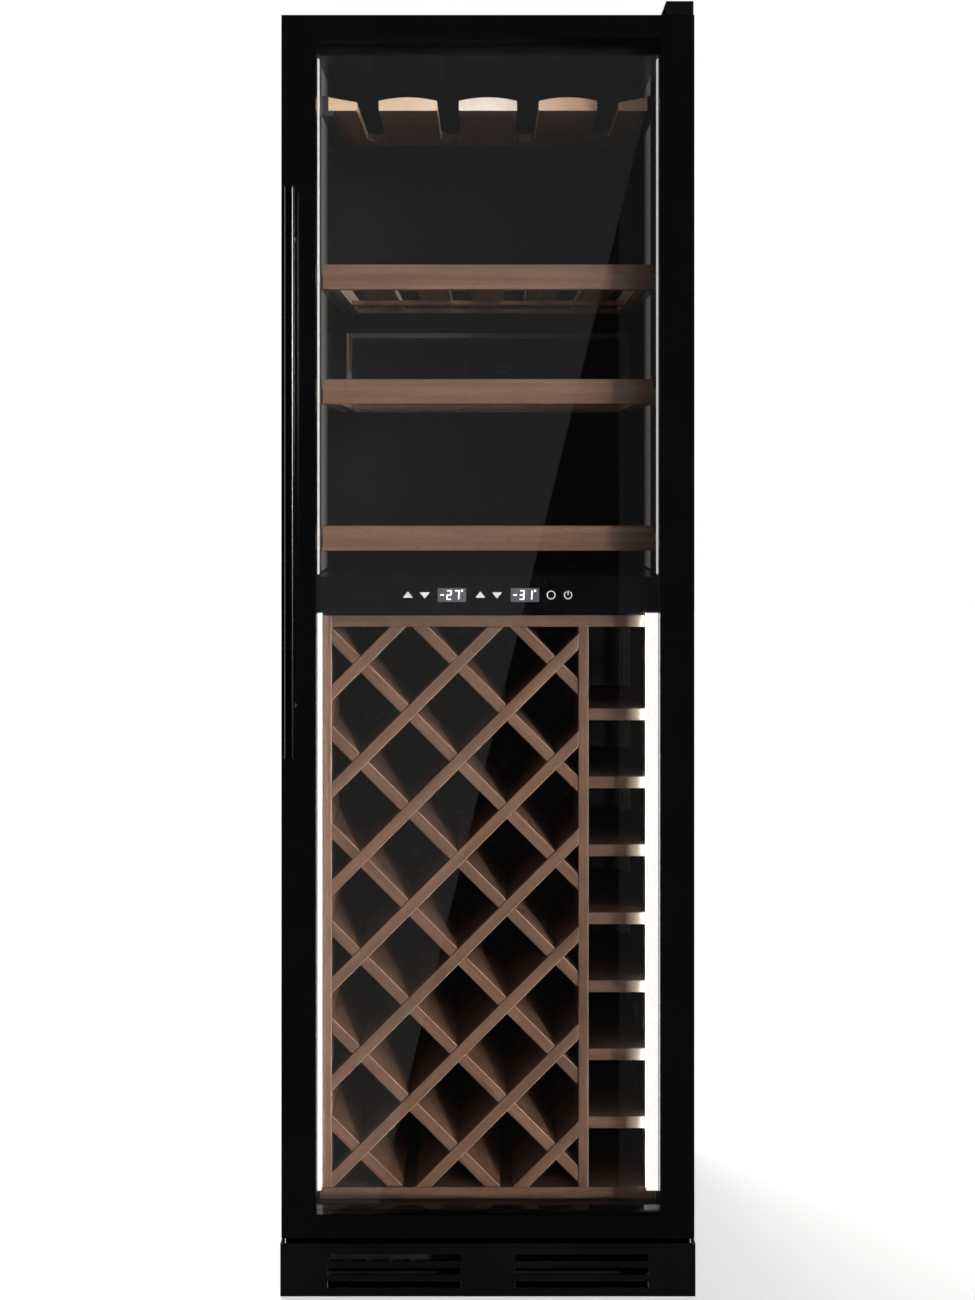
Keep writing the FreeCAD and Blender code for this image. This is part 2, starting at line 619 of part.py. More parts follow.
def hinge_screw_places():
    """Where the three screws hold the top hinge bracket."""
    front = FLANGE + TOP_BRACKET_REAR / 4
    back = FLANGE + TOP_BRACKET_REAR * 3 / 4
    left, right = bracket_sides()
    left += BRACKET_SCREW_INSET
    right -= BRACKET_SCREW_INSET
    return [(left, front), (right, front), (left, back)]


def hinge_screw_holes():
    holes = []
    for x, y in hinge_screw_places():
        low = Vector(x, y, CABINET_TOP - SCREW_LENGTH)
        holes.append(rod(SCREW_RADIUS, low, Vector(x, y, CABINET_TOP + CUT)))
    return holes


def bracket_sides():
    """X range of both hinge brackets."""
    right = AXIS_X + BRACKET_BESIDE_PIN
    return right - BRACKET_WIDTH, right


def upper_hinge():
    """Top bracket with its riveted pin, its screws and the cap that covers it."""
    left, right = bracket_sides()
    low = CABINET_TOP
    high = low + BRACKET_THICKNESS
    plate_front = AXIS_Y - BRACKET_BEFORE_PIN
    plate_back = FLANGE + TOP_BRACKET_REAR
    plate = box(left, right, plate_front, plate_back, low, high)
    pin = rod(HINGE_PIN_RADIUS, Vector(AXIS_X, AXIS_Y, DOOR_TOP - PIN_LENGTH), Vector(AXIS_X, AXIS_Y, high))
    holes = [rod(SCREW_RADIUS, Vector(x, y, low - CUT), Vector(x, y, high + CUT))
             for x, y in hinge_screw_places()]
    save("upper_hinge_bracket", joined(plate, pin).cut(holes))
    shell = CAP_WALL + SEAT
    front = plate_front - shell
    back = plate_back + shell
    top = low + CAP_HEIGHT
    cap = box(left - shell, right + shell, front, back, low, top)
    cap = cap.makeFillet(CAP_ROUND, [edge for edge in cap.Edges if edge.BoundBox.ZMin > top - SEAT])
    inside = box(left - SEAT, right + SEAT, plate_front - SEAT, plate_back + SEAT, low - CUT, top - CAP_WALL)
    save("hinge_cap", joined(cap.cut(inside), cap_fin(left - shell, front, back, low, top)))


def cap_fin(side, front, back, low, top):
    """Slanted fin from the cap's upper edge down to the cabinet top."""
    high = top - CAP_ROUND
    foot = side - CAP_FIN_LEAN
    corners = [(side, high), (side, high - CAP_FIN * 2), (foot + CAP_FIN, low), (foot, low), (side, high)]
    outline = Part.makePolygon([Vector(x, front + CAP_WALL, z) for x, z in corners])
    return Part.Face(outline).extrude(Vector(0, back - front - CAP_WALL * 2, 0))


def lower_hinge():
    """Bottom bracket, screwed to the base behind the kick plate, with its pin pointing up."""
    left, right = bracket_sides()
    high = DOOR_BOTTOM - BUSH_FLANGE - SEAT
    low = high - BRACKET_THICKNESS
    leg_low = FOAM_BOTTOM - BRACKET_LEG
    plate = box(left, right, AXIS_Y - BRACKET_BEFORE_PIN, FLANGE, low, high)
    leg = box(left, right, FLANGE - BRACKET_THICKNESS, FLANGE, leg_low, high)
    pin = rod(HINGE_PIN_RADIUS, Vector(AXIS_X, AXIS_Y, low), Vector(AXIS_X, AXIS_Y, DOOR_BOTTOM + PIN_LENGTH))
    save("lower_hinge_bracket", joined(plate, leg, pin))


def hinge_screws():
    """Pan-head screws of the top bracket."""
    screws = []
    seat = CABINET_TOP + BRACKET_THICKNESS
    for x, y in hinge_screw_places():
        shank = rod(SCREW_RADIUS, Vector(x, y, CABINET_TOP - SCREW_LENGTH), Vector(x, y, seat))
        head = rod(SCREW_HEAD_RADIUS, Vector(x, y, seat), Vector(x, y, seat + SCREW_HEAD))
        screws.append(joined(shank, head))
    save("hinge_screws", *screws)


def door_bushes():
    """Flanged plastic bushes in the door's top and bottom, running on the hinge pins."""
    bushes = []
    for face, way in ((DOOR_TOP, -1), (DOOR_BOTTOM, 1)):
        flange_end = face - way * BUSH_FLANGE
        inner_end = face + way * BUSH_LENGTH
        body = rod(BUSH_RADIUS, Vector(AXIS_X, AXIS_Y, face), Vector(AXIS_X, AXIS_Y, inner_end))
        flange = rod(BUSH_FLANGE_RADIUS, Vector(AXIS_X, AXIS_Y, flange_end), Vector(AXIS_X, AXIS_Y, face))
        start = Vector(AXIS_X, AXIS_Y, face - way * CUT)
        bore = rod(HINGE_PIN_RADIUS + PIN_CLEARANCE, start, Vector(AXIS_X, AXIS_Y, inner_end + way * CUT))
        bushes.append(joined(body, flange).cut(bore))
    save("door_hinge_bushes", *bushes)


def bush_pockets():
    """Holes for the two bushes in the door's top and bottom."""
    spans = ((DOOR_TOP - BUSH_LENGTH, DOOR_TOP + CUT), (DOOR_BOTTOM - CUT, DOOR_BOTTOM + BUSH_LENGTH))
    return [rod(BUSH_RADIUS, Vector(AXIS_X, AXIS_Y, low), Vector(AXIS_X, AXIS_Y, high)) for low, high in spans]


def handle_places():
    """Middle of the handle across the door, and the heights of its two posts."""
    x = -DOOR_HALF + HANDLE_EDGE + HANDLE_BAR_WIDTH / 2
    low = HANDLE_BOTTOM + HANDLE_POST_INSET
    return x, (low, HANDLE_BOTTOM + HANDLE_LENGTH - HANDLE_POST_INSET)


def handle():
    """Round-edged bar handle, and the two posts with the studs that go through the glass."""
    x, heights = handle_places()
    half = HANDLE_BAR_WIDTH / 2
    bar_back = HANDLE_FRONT + HANDLE_BAR_DEPTH
    bar = box(x - half, x + half, HANDLE_FRONT, bar_back, HANDLE_BOTTOM, HANDLE_BOTTOM + HANDLE_LENGTH)
    upright = [edge for edge in bar.Edges if edge.BoundBox.ZLength > HANDLE_BAR_WIDTH * 2]
    save("handle_bar", bar.makeFillet(HANDLE_ROUND, upright))
    posts = []
    for z in heights:
        post = rod(HANDLE_POST_RADIUS, Vector(x, bar_back, z), Vector(x, DOOR_FRONT, z))
        stud_end = Vector(x, DOOR_FRONT + HANDLE_SCREW_LENGTH, z)
        stud = rod(HANDLE_SCREW_RADIUS, Vector(x, DOOR_FRONT, z), stud_end)
        posts.append(joined(post, stud))
    save("handle_posts", *posts)


def handle_stud_holes():
    x, heights = handle_places()
    front = DOOR_FRONT - CUT
    back = DOOR_FRONT + HANDLE_SCREW_LENGTH
    return [rod(HANDLE_SCREW_RADIUS, Vector(x, front, z), Vector(x, back, z)) for z in heights]


def door_glass():
    """Full-size outer pane and the smaller pane behind it."""
    outer = box(-DOOR_HALF, DOOR_HALF, DOOR_FRONT, GLASS_BACK, DOOR_BOTTOM, DOOR_TOP)
    corners = [edge for edge in outer.Edges if edge.BoundBox.YLength > OUTER_GLASS - SEAT]
    save("door_outer_glass", outer.makeFillet(GLASS_CORNER, corners).cut(handle_stud_holes()))
    half = WINDOW_HALF + GLASS_REBATE - SEAT
    front = GLASS_BACK + FRAME_FRONT_DEPTH
    low = WINDOW_BOTTOM - GLASS_REBATE + SEAT
    high = WINDOW_TOP + GLASS_REBATE - SEAT
    save("door_inner_glass", box(-half, half, front, front + INNER_GLASS, low, high))


def door_frame():
    """Four mitred aluminium profiles behind the outer pane, with the rebate of the inner one."""
    outline = (-DOOR_HALF, DOOR_HALF, DOOR_BOTTOM, DOOR_TOP)
    window = (-WINDOW_HALF, WINDOW_HALF, WINDOW_BOTTOM, WINDOW_TOP)
    rebate = (-WINDOW_HALF - GLASS_REBATE, WINDOW_HALF + GLASS_REBATE,
              WINDOW_BOTTOM - GLASS_REBATE, WINDOW_TOP + GLASS_REBATE)
    middle = GLASS_BACK + FRAME_FRONT_DEPTH
    deep = frame_ring(outline, window, GLASS_BACK, middle)
    ring = joined(deep, frame_ring(outline, rebate, middle, DOOR_BACK))
    ring = ring.cut([gasket_barb()] + bush_pockets() + handle_stud_holes())
    profiles = []
    for sector in mitre_sectors(outline, window):
        profiles.append(ring.common(sector))
    save("door_frame", *profiles)


def mitre_sectors(outline, window):
    """Left, right, bottom and top of the frame, split along its corner mitres."""
    left, right, low, high = outline
    in_left, in_right, in_low, in_high = window
    sectors = []
    quads = [
        [(left, low), (in_left, in_low), (in_left, in_high), (left, high)],
        [(right, low), (right, high), (in_right, in_high), (in_right, in_low)],
        [(left, low), (right, low), (in_right, in_low), (in_left, in_low)],
        [(left, high), (in_left, in_high), (in_right, in_high), (right, high)],
    ]
    for quad in quads:
        points = [Vector(x, GLASS_BACK - CUT, z) for x, z in quad + quad[:1]]
        face = Part.Face(Part.makePolygon(points))
        sectors.append(face.extrude(Vector(0, DOOR_THICKNESS + CUT * 2, 0)))
    return sectors


def gasket_outlines(outer_gap, width):
    """Outer and inner outline of a ring this far inside the gasket's outer edge."""
    side = DOOR_HALF - GASKET_INSET - outer_gap
    low = DOOR_BOTTOM + GASKET_BOTTOM_INSET + outer_gap
    high = DOOR_TOP - GASKET_BOTTOM_INSET - outer_gap
    outer = (-side, side, low, high)
    return outer, (-side + width, side - width, low + width, high - width)


def gasket_barb():
    """Tongue that presses into the groove of the door frame."""
    outer, inner = gasket_outlines((GASKET_WIDTH - GASKET_BARB_WIDTH) / 2, GASKET_BARB_WIDTH)
    return frame_ring(outer, inner, DOOR_BACK - GASKET_BARB_DEPTH, DOOR_BACK)


def door_gasket():
    """Soft magnetic seal round the back of the door."""
    outer, inner = gasket_outlines(0, GASKET_WIDTH)
    bulb = frame_ring(outer, inner, DOOR_BACK, FLANGE - SEAT)
    save("door_gasket", joined(bulb, gasket_barb()))


def lights():
    """Slim light bars of the upper zone and the light strips that fill the gaps beside the rack."""
    front = FLANGE + LIGHT_SETBACK
    inner = LINER_HALF - LIGHT_THICKNESS
    bar = box(inner, LINER_HALF, front, front + UPPER_LIGHT_DEPTH,
              UPPER_FLOOR + LIGHT_END_GAP, UPPER_CEILING - LIGHT_END_GAP)
    save("upper_light_bars", bar, mirrored(bar))
    strip_front = RACK_FRONT - LOWER_LIGHT_AHEAD
    strip_back = strip_front + LOWER_LIGHT_DEPTH
    strip_low = LATTICE_BOTTOM + LIGHT_SIDE_PLAY
    strip_high = LOWER_CEILING - LIGHT_END_GAP
    left = box(-LINER_HALF, RACK_LEFT - LIGHT_SIDE_PLAY, strip_front, strip_back, strip_low, strip_high)
    right = box(RACK_RIGHT + LIGHT_SIDE_PLAY, LINER_HALF, strip_front, strip_back, strip_low, strip_high)
    save("lower_light_strips", left, right)


def shelf_front(bottom):
    """Solid beech front of a shelf."""
    board = box(-SHELF_HALF, SHELF_HALF, SHELF_FRONT, DECK_START, bottom, bottom + SHELF_FRONT_HEIGHT)
    return board.makeFillet(SHELF_FRONT_ROUND, front_edges(board, SHELF_FRONT))


def shelf_deck(bottom):
    """Slats, cross bars and side rails of a shelf, glued into one frame."""
    half = DECK_HALF
    back = SHELF_BACK
    bar_low = bottom + DECK_RAISE
    slat_low = bar_low + CROSS_BAR_HEIGHT
    slat_high = slat_low + SLAT_THICKNESS
    pitch = (half * 2 - SLAT_EDGE * 2 - SLAT_WIDTH) / (SLAT_COUNT - 1)
    pieces = []
    for slat in range(SLAT_COUNT):
        x = (slat - (SLAT_COUNT - 1) / 2) * pitch
        pieces.append(box(x - SLAT_WIDTH / 2, x + SLAT_WIDTH / 2, DECK_START, back, slat_low, slat_high))
    for bar_back in (SHELF_FRONT + MIDDLE_BAR_BACK + CROSS_BAR_WIDTH, back):
        pieces.append(box(-half, half, bar_back - CROSS_BAR_WIDTH, bar_back, bar_low, slat_low))
    for side in (-half, half - DECK_RAIL_WIDTH):
        pieces.append(box(side, side + DECK_RAIL_WIDTH, DECK_START, back, bar_low, bar_low + DECK_RAIL_HEIGHT))
    return joined(*pieces)


def runner_heights(bottom):
    """Bottom and top of the runner channel beside a shelf."""
    low = bottom + DECK_RAISE + (DECK_RAIL_HEIGHT - RUNNER_HEIGHT) / 2
    return low, low + RUNNER_HEIGHT


def runner_channel(bottom):
    """Steel channel on the right wall, open towards the shelf."""
    low, high = runner_heights(bottom)
    inner = LINER_HALF - RUNNER_WIDTH
    body = box(inner, LINER_HALF, RUNNER_START, RUNNER_END, low, high)
    hollow = box(inner + RUNNER_WALL, LINER_HALF - RUNNER_WALL, RUNNER_START - CUT, RUNNER_END + CUT,
                 low + RUNNER_WALL, high - RUNNER_WALL)
    mouth = box(inner - CUT, inner + RUNNER_WALL + CUT, RUNNER_START - CUT, RUNNER_END + CUT,
                low + RUNNER_LIP, high - RUNNER_LIP)
    return body.cut([hollow, mouth])


def shelf_slide(bottom):
    """Steel slide on the shelf's right rail, running inside the channel and clear of the light bar."""
    low, high = runner_heights(bottom)
    web_half = (high - low) / 2 - RUNNER_LIP - RUNNER_PLAY
    middle = (low + high) / 2
    head_left = LINER_HALF - RUNNER_WIDTH + RUNNER_WALL + RUNNER_PLAY
    head_right = LINER_HALF - LIGHT_THICKNESS - RUNNER_PLAY
    head_low = low + RUNNER_WALL + RUNNER_PLAY
    head_high = high - RUNNER_WALL - RUNNER_PLAY
    web = box(DECK_HALF, head_left, RUNNER_START, RUNNER_END, middle - web_half, middle + web_half)
    head = box(head_left, head_right, RUNNER_START, RUNNER_END, head_low, head_high)
    trough = box(head_left + SLIDE_WEB, head_right + CUT, RUNNER_START - CUT, RUNNER_END + CUT,
                 head_low + SLIDE_WEB, head_high - SLIDE_WEB)
    return joined(web, head).cut(trough)


def shelves():
    """Three sliding shelves, each with its front, its deck and its pair of slides."""
    channels = []
    for number, bottom in enumerate((SHELF_1_BOTTOM, SHELF_2_BOTTOM, SHELF_3_BOTTOM), start=1):
        save(f"shelf_{number}_front", shelf_front(bottom))
        save(f"shelf_{number}_deck", shelf_deck(bottom))
        slide = shelf_slide(bottom)
        save(f"shelf_{number}_slides", slide, mirrored(slide))
        channel = runner_channel(bottom)
        channels += [channel, mirrored(channel)]
    save("runner_channels", *channels)


def bottle_rest():
    """Two posts and a bar on the middle shelf, which hold bottles tilted for display."""
    bottom = SHELF_2_BOTTOM + DECK_RAISE + DECK_RAIL_HEIGHT
    top = bottom + REST_HEIGHT
    half = DECK_HALF
    y = SHELF_FRONT + REST_BACK
    post = box(half - REST_SECTION, half, y, y + REST_SECTION, bottom, top)
    bar = box(-half + REST_SECTION, half - REST_SECTION, y, y + REST_SECTION,
              top - REST_BAR_HEIGHT, top)
    save("bottle_rest", post, mirrored(post), bar)


def glass_rack():
    """Board with four open slots and a scalloped top, and the two rails that carry it."""
    half = GLASS_RACK_HALF
    front = FLANGE + GLASS_RACK_SETBACK
    back = front + GLASS_RACK_DEPTH
    board = Part.Face(Part.Wire(scalloped_outline(front))).extrude(Vector(0, GLASS_RACK_DEPTH, 0))
    slots = []
    for x in slot_centres():
        end = back - GLASS_SLOT_BACK - GLASS_SLOT_WIDTH / 2
        low = GLASS_RACK_BOTTOM - CUT
        high = GLASS_RACK_BOTTOM + GLASS_RACK_CROWN + CUT
        slots.append(box(x - GLASS_SLOT_WIDTH / 2, x + GLASS_SLOT_WIDTH / 2, front - CUT, end, low, high))
        slots.append(rod(GLASS_SLOT_WIDTH / 2, Vector(x, end, low), Vector(x, end, high)))
    save("glass_rack", board.cut(slots))
    low = GLASS_RACK_BOTTOM - GLASS_RAIL_THICKNESS
    wall = box(half + SEAT, LINER_HALF, front, back, low, GLASS_RACK_BOTTOM + GLASS_RAIL_ABOVE)
    ledge = box(half - GLASS_RAIL_LEDGE, half + SEAT, front, back, low, GLASS_RACK_BOTTOM)
    rail = joined(wall, ledge)
    save("glass_rack_rails", rail, mirrored(rail))


def slot_centres():
    first = -GLASS_RACK_HALF + GLASS_SLOT_EDGE
    pitch = -first * 2 / (GLASS_SLOT_COUNT - 1)
    return [first + slot * pitch for slot in range(GLASS_SLOT_COUNT)]


def scalloped_outline(y):
    """Front outline of the glass rack: a flat bottom, and one arch between each pair of slots."""
    half = GLASS_RACK_HALF
    low = GLASS_RACK_BOTTOM
    thin = low + GLASS_RACK_THIN
    crown = low + GLASS_RACK_CROWN
    centres = slot_centres()
    edges = [Part.LineSegment(Vector(half, y, low), Vector(-half, y, low)).toShape()]
    edges.append(Part.LineSegment(Vector(-half, y, low), Vector(-half, y, crown)).toShape())
    edges.append(Part.LineSegment(Vector(-half, y, crown), Vector(centres[0], y, thin)).toShape())
    for left, right in zip(centres, centres[1:]):
        middle = Vector((left + right) / 2, y, crown)
        edges.append(Part.Arc(Vector(left, y, thin), middle, Vector(right, y, thin)).toShape())
    edges.append(Part.LineSegment(Vector(centres[-1], y, thin), Vector(half, y, crown)).toShape())
    edges.append(Part.LineSegment(Vector(half, y, crown), Vector(half, y, low)).toShape())
    return edges


def rack_frame():
    """Outer boards of the bottle rack: sides, rails, middle board and the rear post."""
    left = box(RACK_LEFT, LATTICE_LEFT, RACK_FRONT, RACK_BACK, LATTICE_BOTTOM, RACK_TOP)
    bottom = box(-RACK_BASE_HALF, RACK_BASE_HALF, RACK_FRONT, RACK_BACK, RACK_BOTTOM, LATTICE_BOTTOM)
    top = box(LATTICE_LEFT, RACK_RIGHT, RACK_FRONT, RACK_BACK, LATTICE_TOP, RACK_TOP)
    middle = box(DIVIDER_LEFT, DIVIDER_RIGHT, RACK_FRONT, RACK_BACK, LATTICE_BOTTOM, LATTICE_TOP)
    post = box(RACK_RIGHT - REAR_POST_WIDTH, RACK_RIGHT, RACK_BACK - REAR_POST_DEPTH, RACK_BACK,
               LATTICE_BOTTOM, LATTICE_TOP)
    save("rack_frame", left, bottom, top, middle, post)


def slanted_board(offset, rising, front, thickness, back=RACK_BACK):
    """A board at 45 degrees whose middle line crosses X = 0 at this height, before trimming."""
    length = (LATTICE_TOP - LATTICE_BOTTOM) * 2
    board = box(-length / 2, length / 2, front, back, -thickness / 2, thickness / 2)
    middle_x = (LATTICE_LEFT + DIVIDER_LEFT) / 2
    middle_z = offset + middle_x if rising else offset - middle_x
    board.rotate(Vector(0, 0, 0), Vector(0, 1, 0), -45 if rising else 45)
    board.translate(Vector(middle_x, 0, middle_z))
    return board


def lattice_offsets(first, reach):
    """Heights at X = 0 of the boards that come into the rack, from the top one down."""
    count = int((first + reach - LATTICE_BOTTOM) / LATTICE_PITCH) + 1
    return [first - number * LATTICE_PITCH for number in range(count)]


def lattice():
    """Two sets of slanted boards, half-lapped where they cross: rising in front, falling behind."""
    room = box(LATTICE_LEFT, DIVIDER_LEFT, RACK_FRONT, RACK_BACK, LATTICE_BOTTOM, LATTICE_TOP)
    middle = (RACK_FRONT + RACK_BACK) / 2
    rising_offsets = lattice_offsets(LATTICE_TOP + RISING_HEIGHT, DIVIDER_LEFT)
    falling_offsets = lattice_offsets(LATTICE_TOP + FALLING_HEIGHT, -LATTICE_LEFT)
    gap = BOARD + LAP_PLAY
    rear_laps = [slanted_board(offset, False, middle, gap, RACK_BACK + CUT) for offset in falling_offsets]
    front_laps = [slanted_board(offset, True, RACK_FRONT - CUT, gap, middle) for offset in rising_offsets]
    rising = [slanted_board(offset, True, RACK_FRONT, BOARD).common(room).cut(rear_laps)
              for offset in rising_offsets]
    falling = [slanted_board(offset, False, RACK_FRONT + FALLING_SETBACK, BOARD).common(room).cut(front_laps)
               for offset in falling_offsets]
    save("lattice_rising_boards", *rising)
    save("lattice_falling_boards", *falling)


def cubby_shelves():
    """Small shelves between the middle board and the rear post, as many as the rack's height holds."""
    shelves_list = []
    notch = box(RACK_RIGHT - REAR_POST_WIDTH, RACK_RIGHT + CUT, RACK_BACK - REAR_POST_DEPTH,
                RACK_BACK + CUT, LATTICE_BOTTOM, LATTICE_TOP)
    first = LATTICE_TOP - CUBBY_DROP
    for number in range(int((first - LATTICE_BOTTOM) / CUBBY_PITCH)):
        top = first - number * CUBBY_PITCH
        board = box(DIVIDER_RIGHT, RACK_RIGHT, RACK_FRONT, RACK_BACK, top - CUBBY_THICKNESS, top)
        shelves_list.append(board.cut(notch))
    save("cubby_shelves", *shelves_list)


def duct_panel(name, floor, ceiling, fan_z):
    """Plain back wall of a zone, which covers its evaporator and fan."""
    half = LINER_HALF - DUCT_SIDE_GAP
    top = ceiling - DUCT_SIDE_GAP
    shell = box(-half, half, DUCT_FRONT, LINER_BACK, floor, top)
    hollow = box(-half + DUCT_WALL, half - DUCT_WALL, DUCT_FRONT + DUCT_WALL, LINER_BACK + CUT,
                 floor + DUCT_WALL, top - DUCT_WALL)
    slots = []
    for row in range(DUCT_SLOT_ROWS):
        z = fan_z + (row - (DUCT_SLOT_ROWS - 1) / 2) * DUCT_SLOT_PITCH
        slots.append(box(-DUCT_SLOT_LENGTH / 2, DUCT_SLOT_LENGTH / 2, DUCT_FRONT - CUT,
                         DUCT_FRONT + DUCT_WALL + CUT, z - DUCT_SLOT_HEIGHT / 2, z + DUCT_SLOT_HEIGHT / 2))
    for row in range(RETURN_SLOT_ROWS):
        z = floor + RETURN_SLOT_RISE + row * DUCT_SLOT_PITCH
        slots.append(box(-RETURN_SLOT_LENGTH / 2, RETURN_SLOT_LENGTH / 2, DUCT_FRONT - CUT,
                         DUCT_FRONT + DUCT_WALL + CUT, z, z + DUCT_SLOT_HEIGHT))
    save(name, shell.cut([hollow] + slots))


def evaporator(low):
    """Fin-and-tube cooling coil, hung on the liner's back wall by its end brackets."""
    half = LINER_HALF - EVAPORATOR_SIDE_GAP
    back = LINER_BACK - EVAPORATOR_BRACKET / 2
    front = back - EVAPORATOR_DEPTH
    high = low + EVAPORATOR_HEIGHT
    pieces = []
    for fin in range(EVAPORATOR_FINS):
        x = -half + fin * (half * 2 - EVAPORATOR_PLATE) / (EVAPORATOR_FINS - 1)
        plate_back = LINER_BACK if fin in (0, EVAPORATOR_FINS - 1) else back
        pieces.append(box(x, x + EVAPORATOR_PLATE, front, plate_back, low, high))
    middle = (front + back) / 2
    for number in range(EVAPORATOR_PASSES):
        z = low + (number + 1 / 2) * EVAPORATOR_HEIGHT / EVAPORATOR_PASSES
        pieces.append(rod(EVAPORATOR_TUBE_RADIUS, Vector(-half, middle, z), Vector(half, middle, z)))
    return joined(*pieces)


def fan_parts(size, depth, bore_radius):
    """Frame and rotor of an axial fan, blowing along Z, with the frame's back at the origin."""
    half = size / 2
    tip = bore_radius - FAN_TIP_GAP
    body = box(-half, half, -half, half, 0, depth)
    body = body.cut(rod(bore_radius, Vector(0, 0, -CUT), Vector(0, 0, depth + CUT)))
    plate = rod(FAN_HUB_RADIUS, Vector(0, 0, 0), Vector(0, 0, FAN_PLATE))
    shaft = rod(FAN_SHAFT_RADIUS, Vector(0, 0, 0), Vector(0, 0, depth - FAN_PLATE))
    arms = []
    for turn in range(4):
        arm = box(0, bore_radius + SEAT, -FAN_ARM_WIDTH / 2, FAN_ARM_WIDTH / 2, 0, FAN_PLATE)
        arm.rotate(Vector(0, 0, 0), Vector(0, 0, 1), 45 + turn * 90)
        arms.append(arm)
    frame = joined(body, plate, shaft, *arms)
    hub_low = FAN_PLATE + FAN_TIP_GAP
    hub_high = depth - FAN_PLATE
    hub = rod(FAN_HUB_RADIUS, Vector(0, 0, hub_low), Vector(0, 0, hub_high))
    cup = tube(FAN_HUB_RADIUS - FAN_HUB_WALL, FAN_HUB_RADIUS - FAN_HUB_WALL * 3,
               Vector(0, 0, hub_low - CUT), Vector(0, 0, hub_high - FAN_HUB_WALL))
    blades = []
    middle = (hub_low + hub_high) / 2
    chord = (hub_high - hub_low) / math.sin(math.radians(FAN_BLADE_ANGLE)) / 2
    swept = tube(tip, tip - FAN_HUB_RADIUS + FAN_HUB_WALL / 2, Vector(0, 0, hub_low), Vector(0, 0, hub_high))
    for blade in range(FAN_BLADES):
        fin = box(0, bore_radius, -chord, chord, -FAN_BLADE_THICKNESS / 2, FAN_BLADE_THICKNESS / 2)
        fin.rotate(Vector(0, 0, 0), Vector(1, 0, 0), FAN_BLADE_ANGLE)
        fin.translate(Vector(0, 0, middle))
        fin.rotate(Vector(0, 0, 0), Vector(0, 0, 1), blade * 360 / FAN_BLADES)
        blades.append(fin.common(swept))
    bore = rod(FAN_SHAFT_RADIUS + PIN_CLEARANCE, Vector(0, 0, -CUT), Vector(0, 0, depth + CUT))
    rotor = joined(hub.cut(cup), *blades).cut(bore)
    return frame, rotor


def placed(shape, place, axis, angle):
    """A copy of a piece, turned about an axis through the origin and then moved."""
    copy = shape.copy()
    copy.rotate(Vector(0, 0, 0), axis, angle)
    copy.translate(place)
    return copy


def evaporator_fans():
    """One fan behind each duct panel, blowing forward into the zone."""
    frame, rotor = fan_parts(FAN_SIZE, FAN_DEPTH, FAN_BORE_RADIUS)
    y = DUCT_FRONT + DUCT_WALL + FAN_DEPTH
    frames = []
    for name, z in (("upper_fan_rotor", UPPER_FAN_Z), ("lower_fan_rotor", LOWER_FAN_Z)):
        place = Vector(0, y, z)
        frames.append(placed(frame, place, Vector(1, 0, 0), 90))
        save(name, placed(rotor, place, Vector(1, 0, 0), 90))
    save("evaporator_fan_frames", *frames)


def condenser_fan():
    """Larger fan beside the compressor, standing on the base pan and blowing to the right."""
    frame, rotor = fan_parts(CONDENSER_FAN_SIZE, CONDENSER_FAN_DEPTH, CONDENSER_FAN_BORE_RADIUS)
    place = Vector(CONDENSER_FAN_X, compressor_y(), PAN_TOP + CONDENSER_FAN_SIZE / 2)
    save("condenser_fan_frame", placed(frame, place, Vector(0, 1, 0), 90))
    save("condenser_fan_rotor", placed(rotor, place, Vector(0, 1, 0), 90))


def compressor_y():
    return (MACHINE_FRONT + REAR) / 2


def compressor_base():
    return PAN_TOP + GROMMET_HEIGHT


def compressor():
    """Sealed compressor shell with its weld band, foot plate and terminal cover."""
    y = compressor_y()
    low = compressor_base()
    plate = box(COMPRESSOR_X - COMPRESSOR_FOOT_X / 2, COMPRESSOR_X + COMPRESSOR_FOOT_X / 2,
                y - COMPRESSOR_FOOT_Y / 2, y + COMPRESSOR_FOOT_Y / 2, low, low + COMPRESSOR_FOOT)
    shell_low = low + COMPRESSOR_FOOT
    shell = rod(COMPRESSOR_RADIUS, Vector(COMPRESSOR_X, y, shell_low),
                Vector(COMPRESSOR_X, y, shell_low + COMPRESSOR_HEIGHT))
    rims = [edge for edge in shell.Edges if edge.BoundBox.ZLength < SEAT and edge.BoundBox.XLength > SEAT]
    shell = shell.makeFillet(COMPRESSOR_ROUND, rims)
    band_low = shell_low + COMPRESSOR_HEIGHT / 2
    band = rod(COMPRESSOR_RADIUS + COMPRESSOR_BAND, Vector(COMPRESSOR_X, y, band_low),
               Vector(COMPRESSOR_X, y, band_low + COMPRESSOR_BAND_HEIGHT))
    side = COMPRESSOR_X - COMPRESSOR_RADIUS
    terminal = box(side - TERMINAL_DEPTH / 2, side + TERMINAL_DEPTH / 2, y - TERMINAL_WIDTH / 2,
                   y + TERMINAL_WIDTH / 2, band_low - TERMINAL_HEIGHT, band_low)
    feet_holes = [rod(SCREW_RADIUS, Vector(x, py, low - CUT), Vector(x, py, low + COMPRESSOR_FOOT + CUT))
                  for x, py in grommet_places()]
    stubs = [rod(PIPE_RADIUS, route[0], route[1]) for route in cold_pipe_routes()]
    save("compressor", joined(plate, shell, band, terminal).cut(feet_holes + stubs))
    grommets = [rod(GROMMET_RADIUS, Vector(x, py, PAN_TOP), Vector(x, py, low)) for x, py in grommet_places()]
    save("compressor_grommets", *grommets)


def grommet_places():
    y = compressor_y()
    dx = COMPRESSOR_FOOT_X / 2 - GROMMET_INSET
    dy = COMPRESSOR_FOOT_Y / 2 - GROMMET_INSET
    return [(COMPRESSOR_X + sx * dx, y + sy * dy) for sx in (-1, 1) for sy in (-1, 1)]


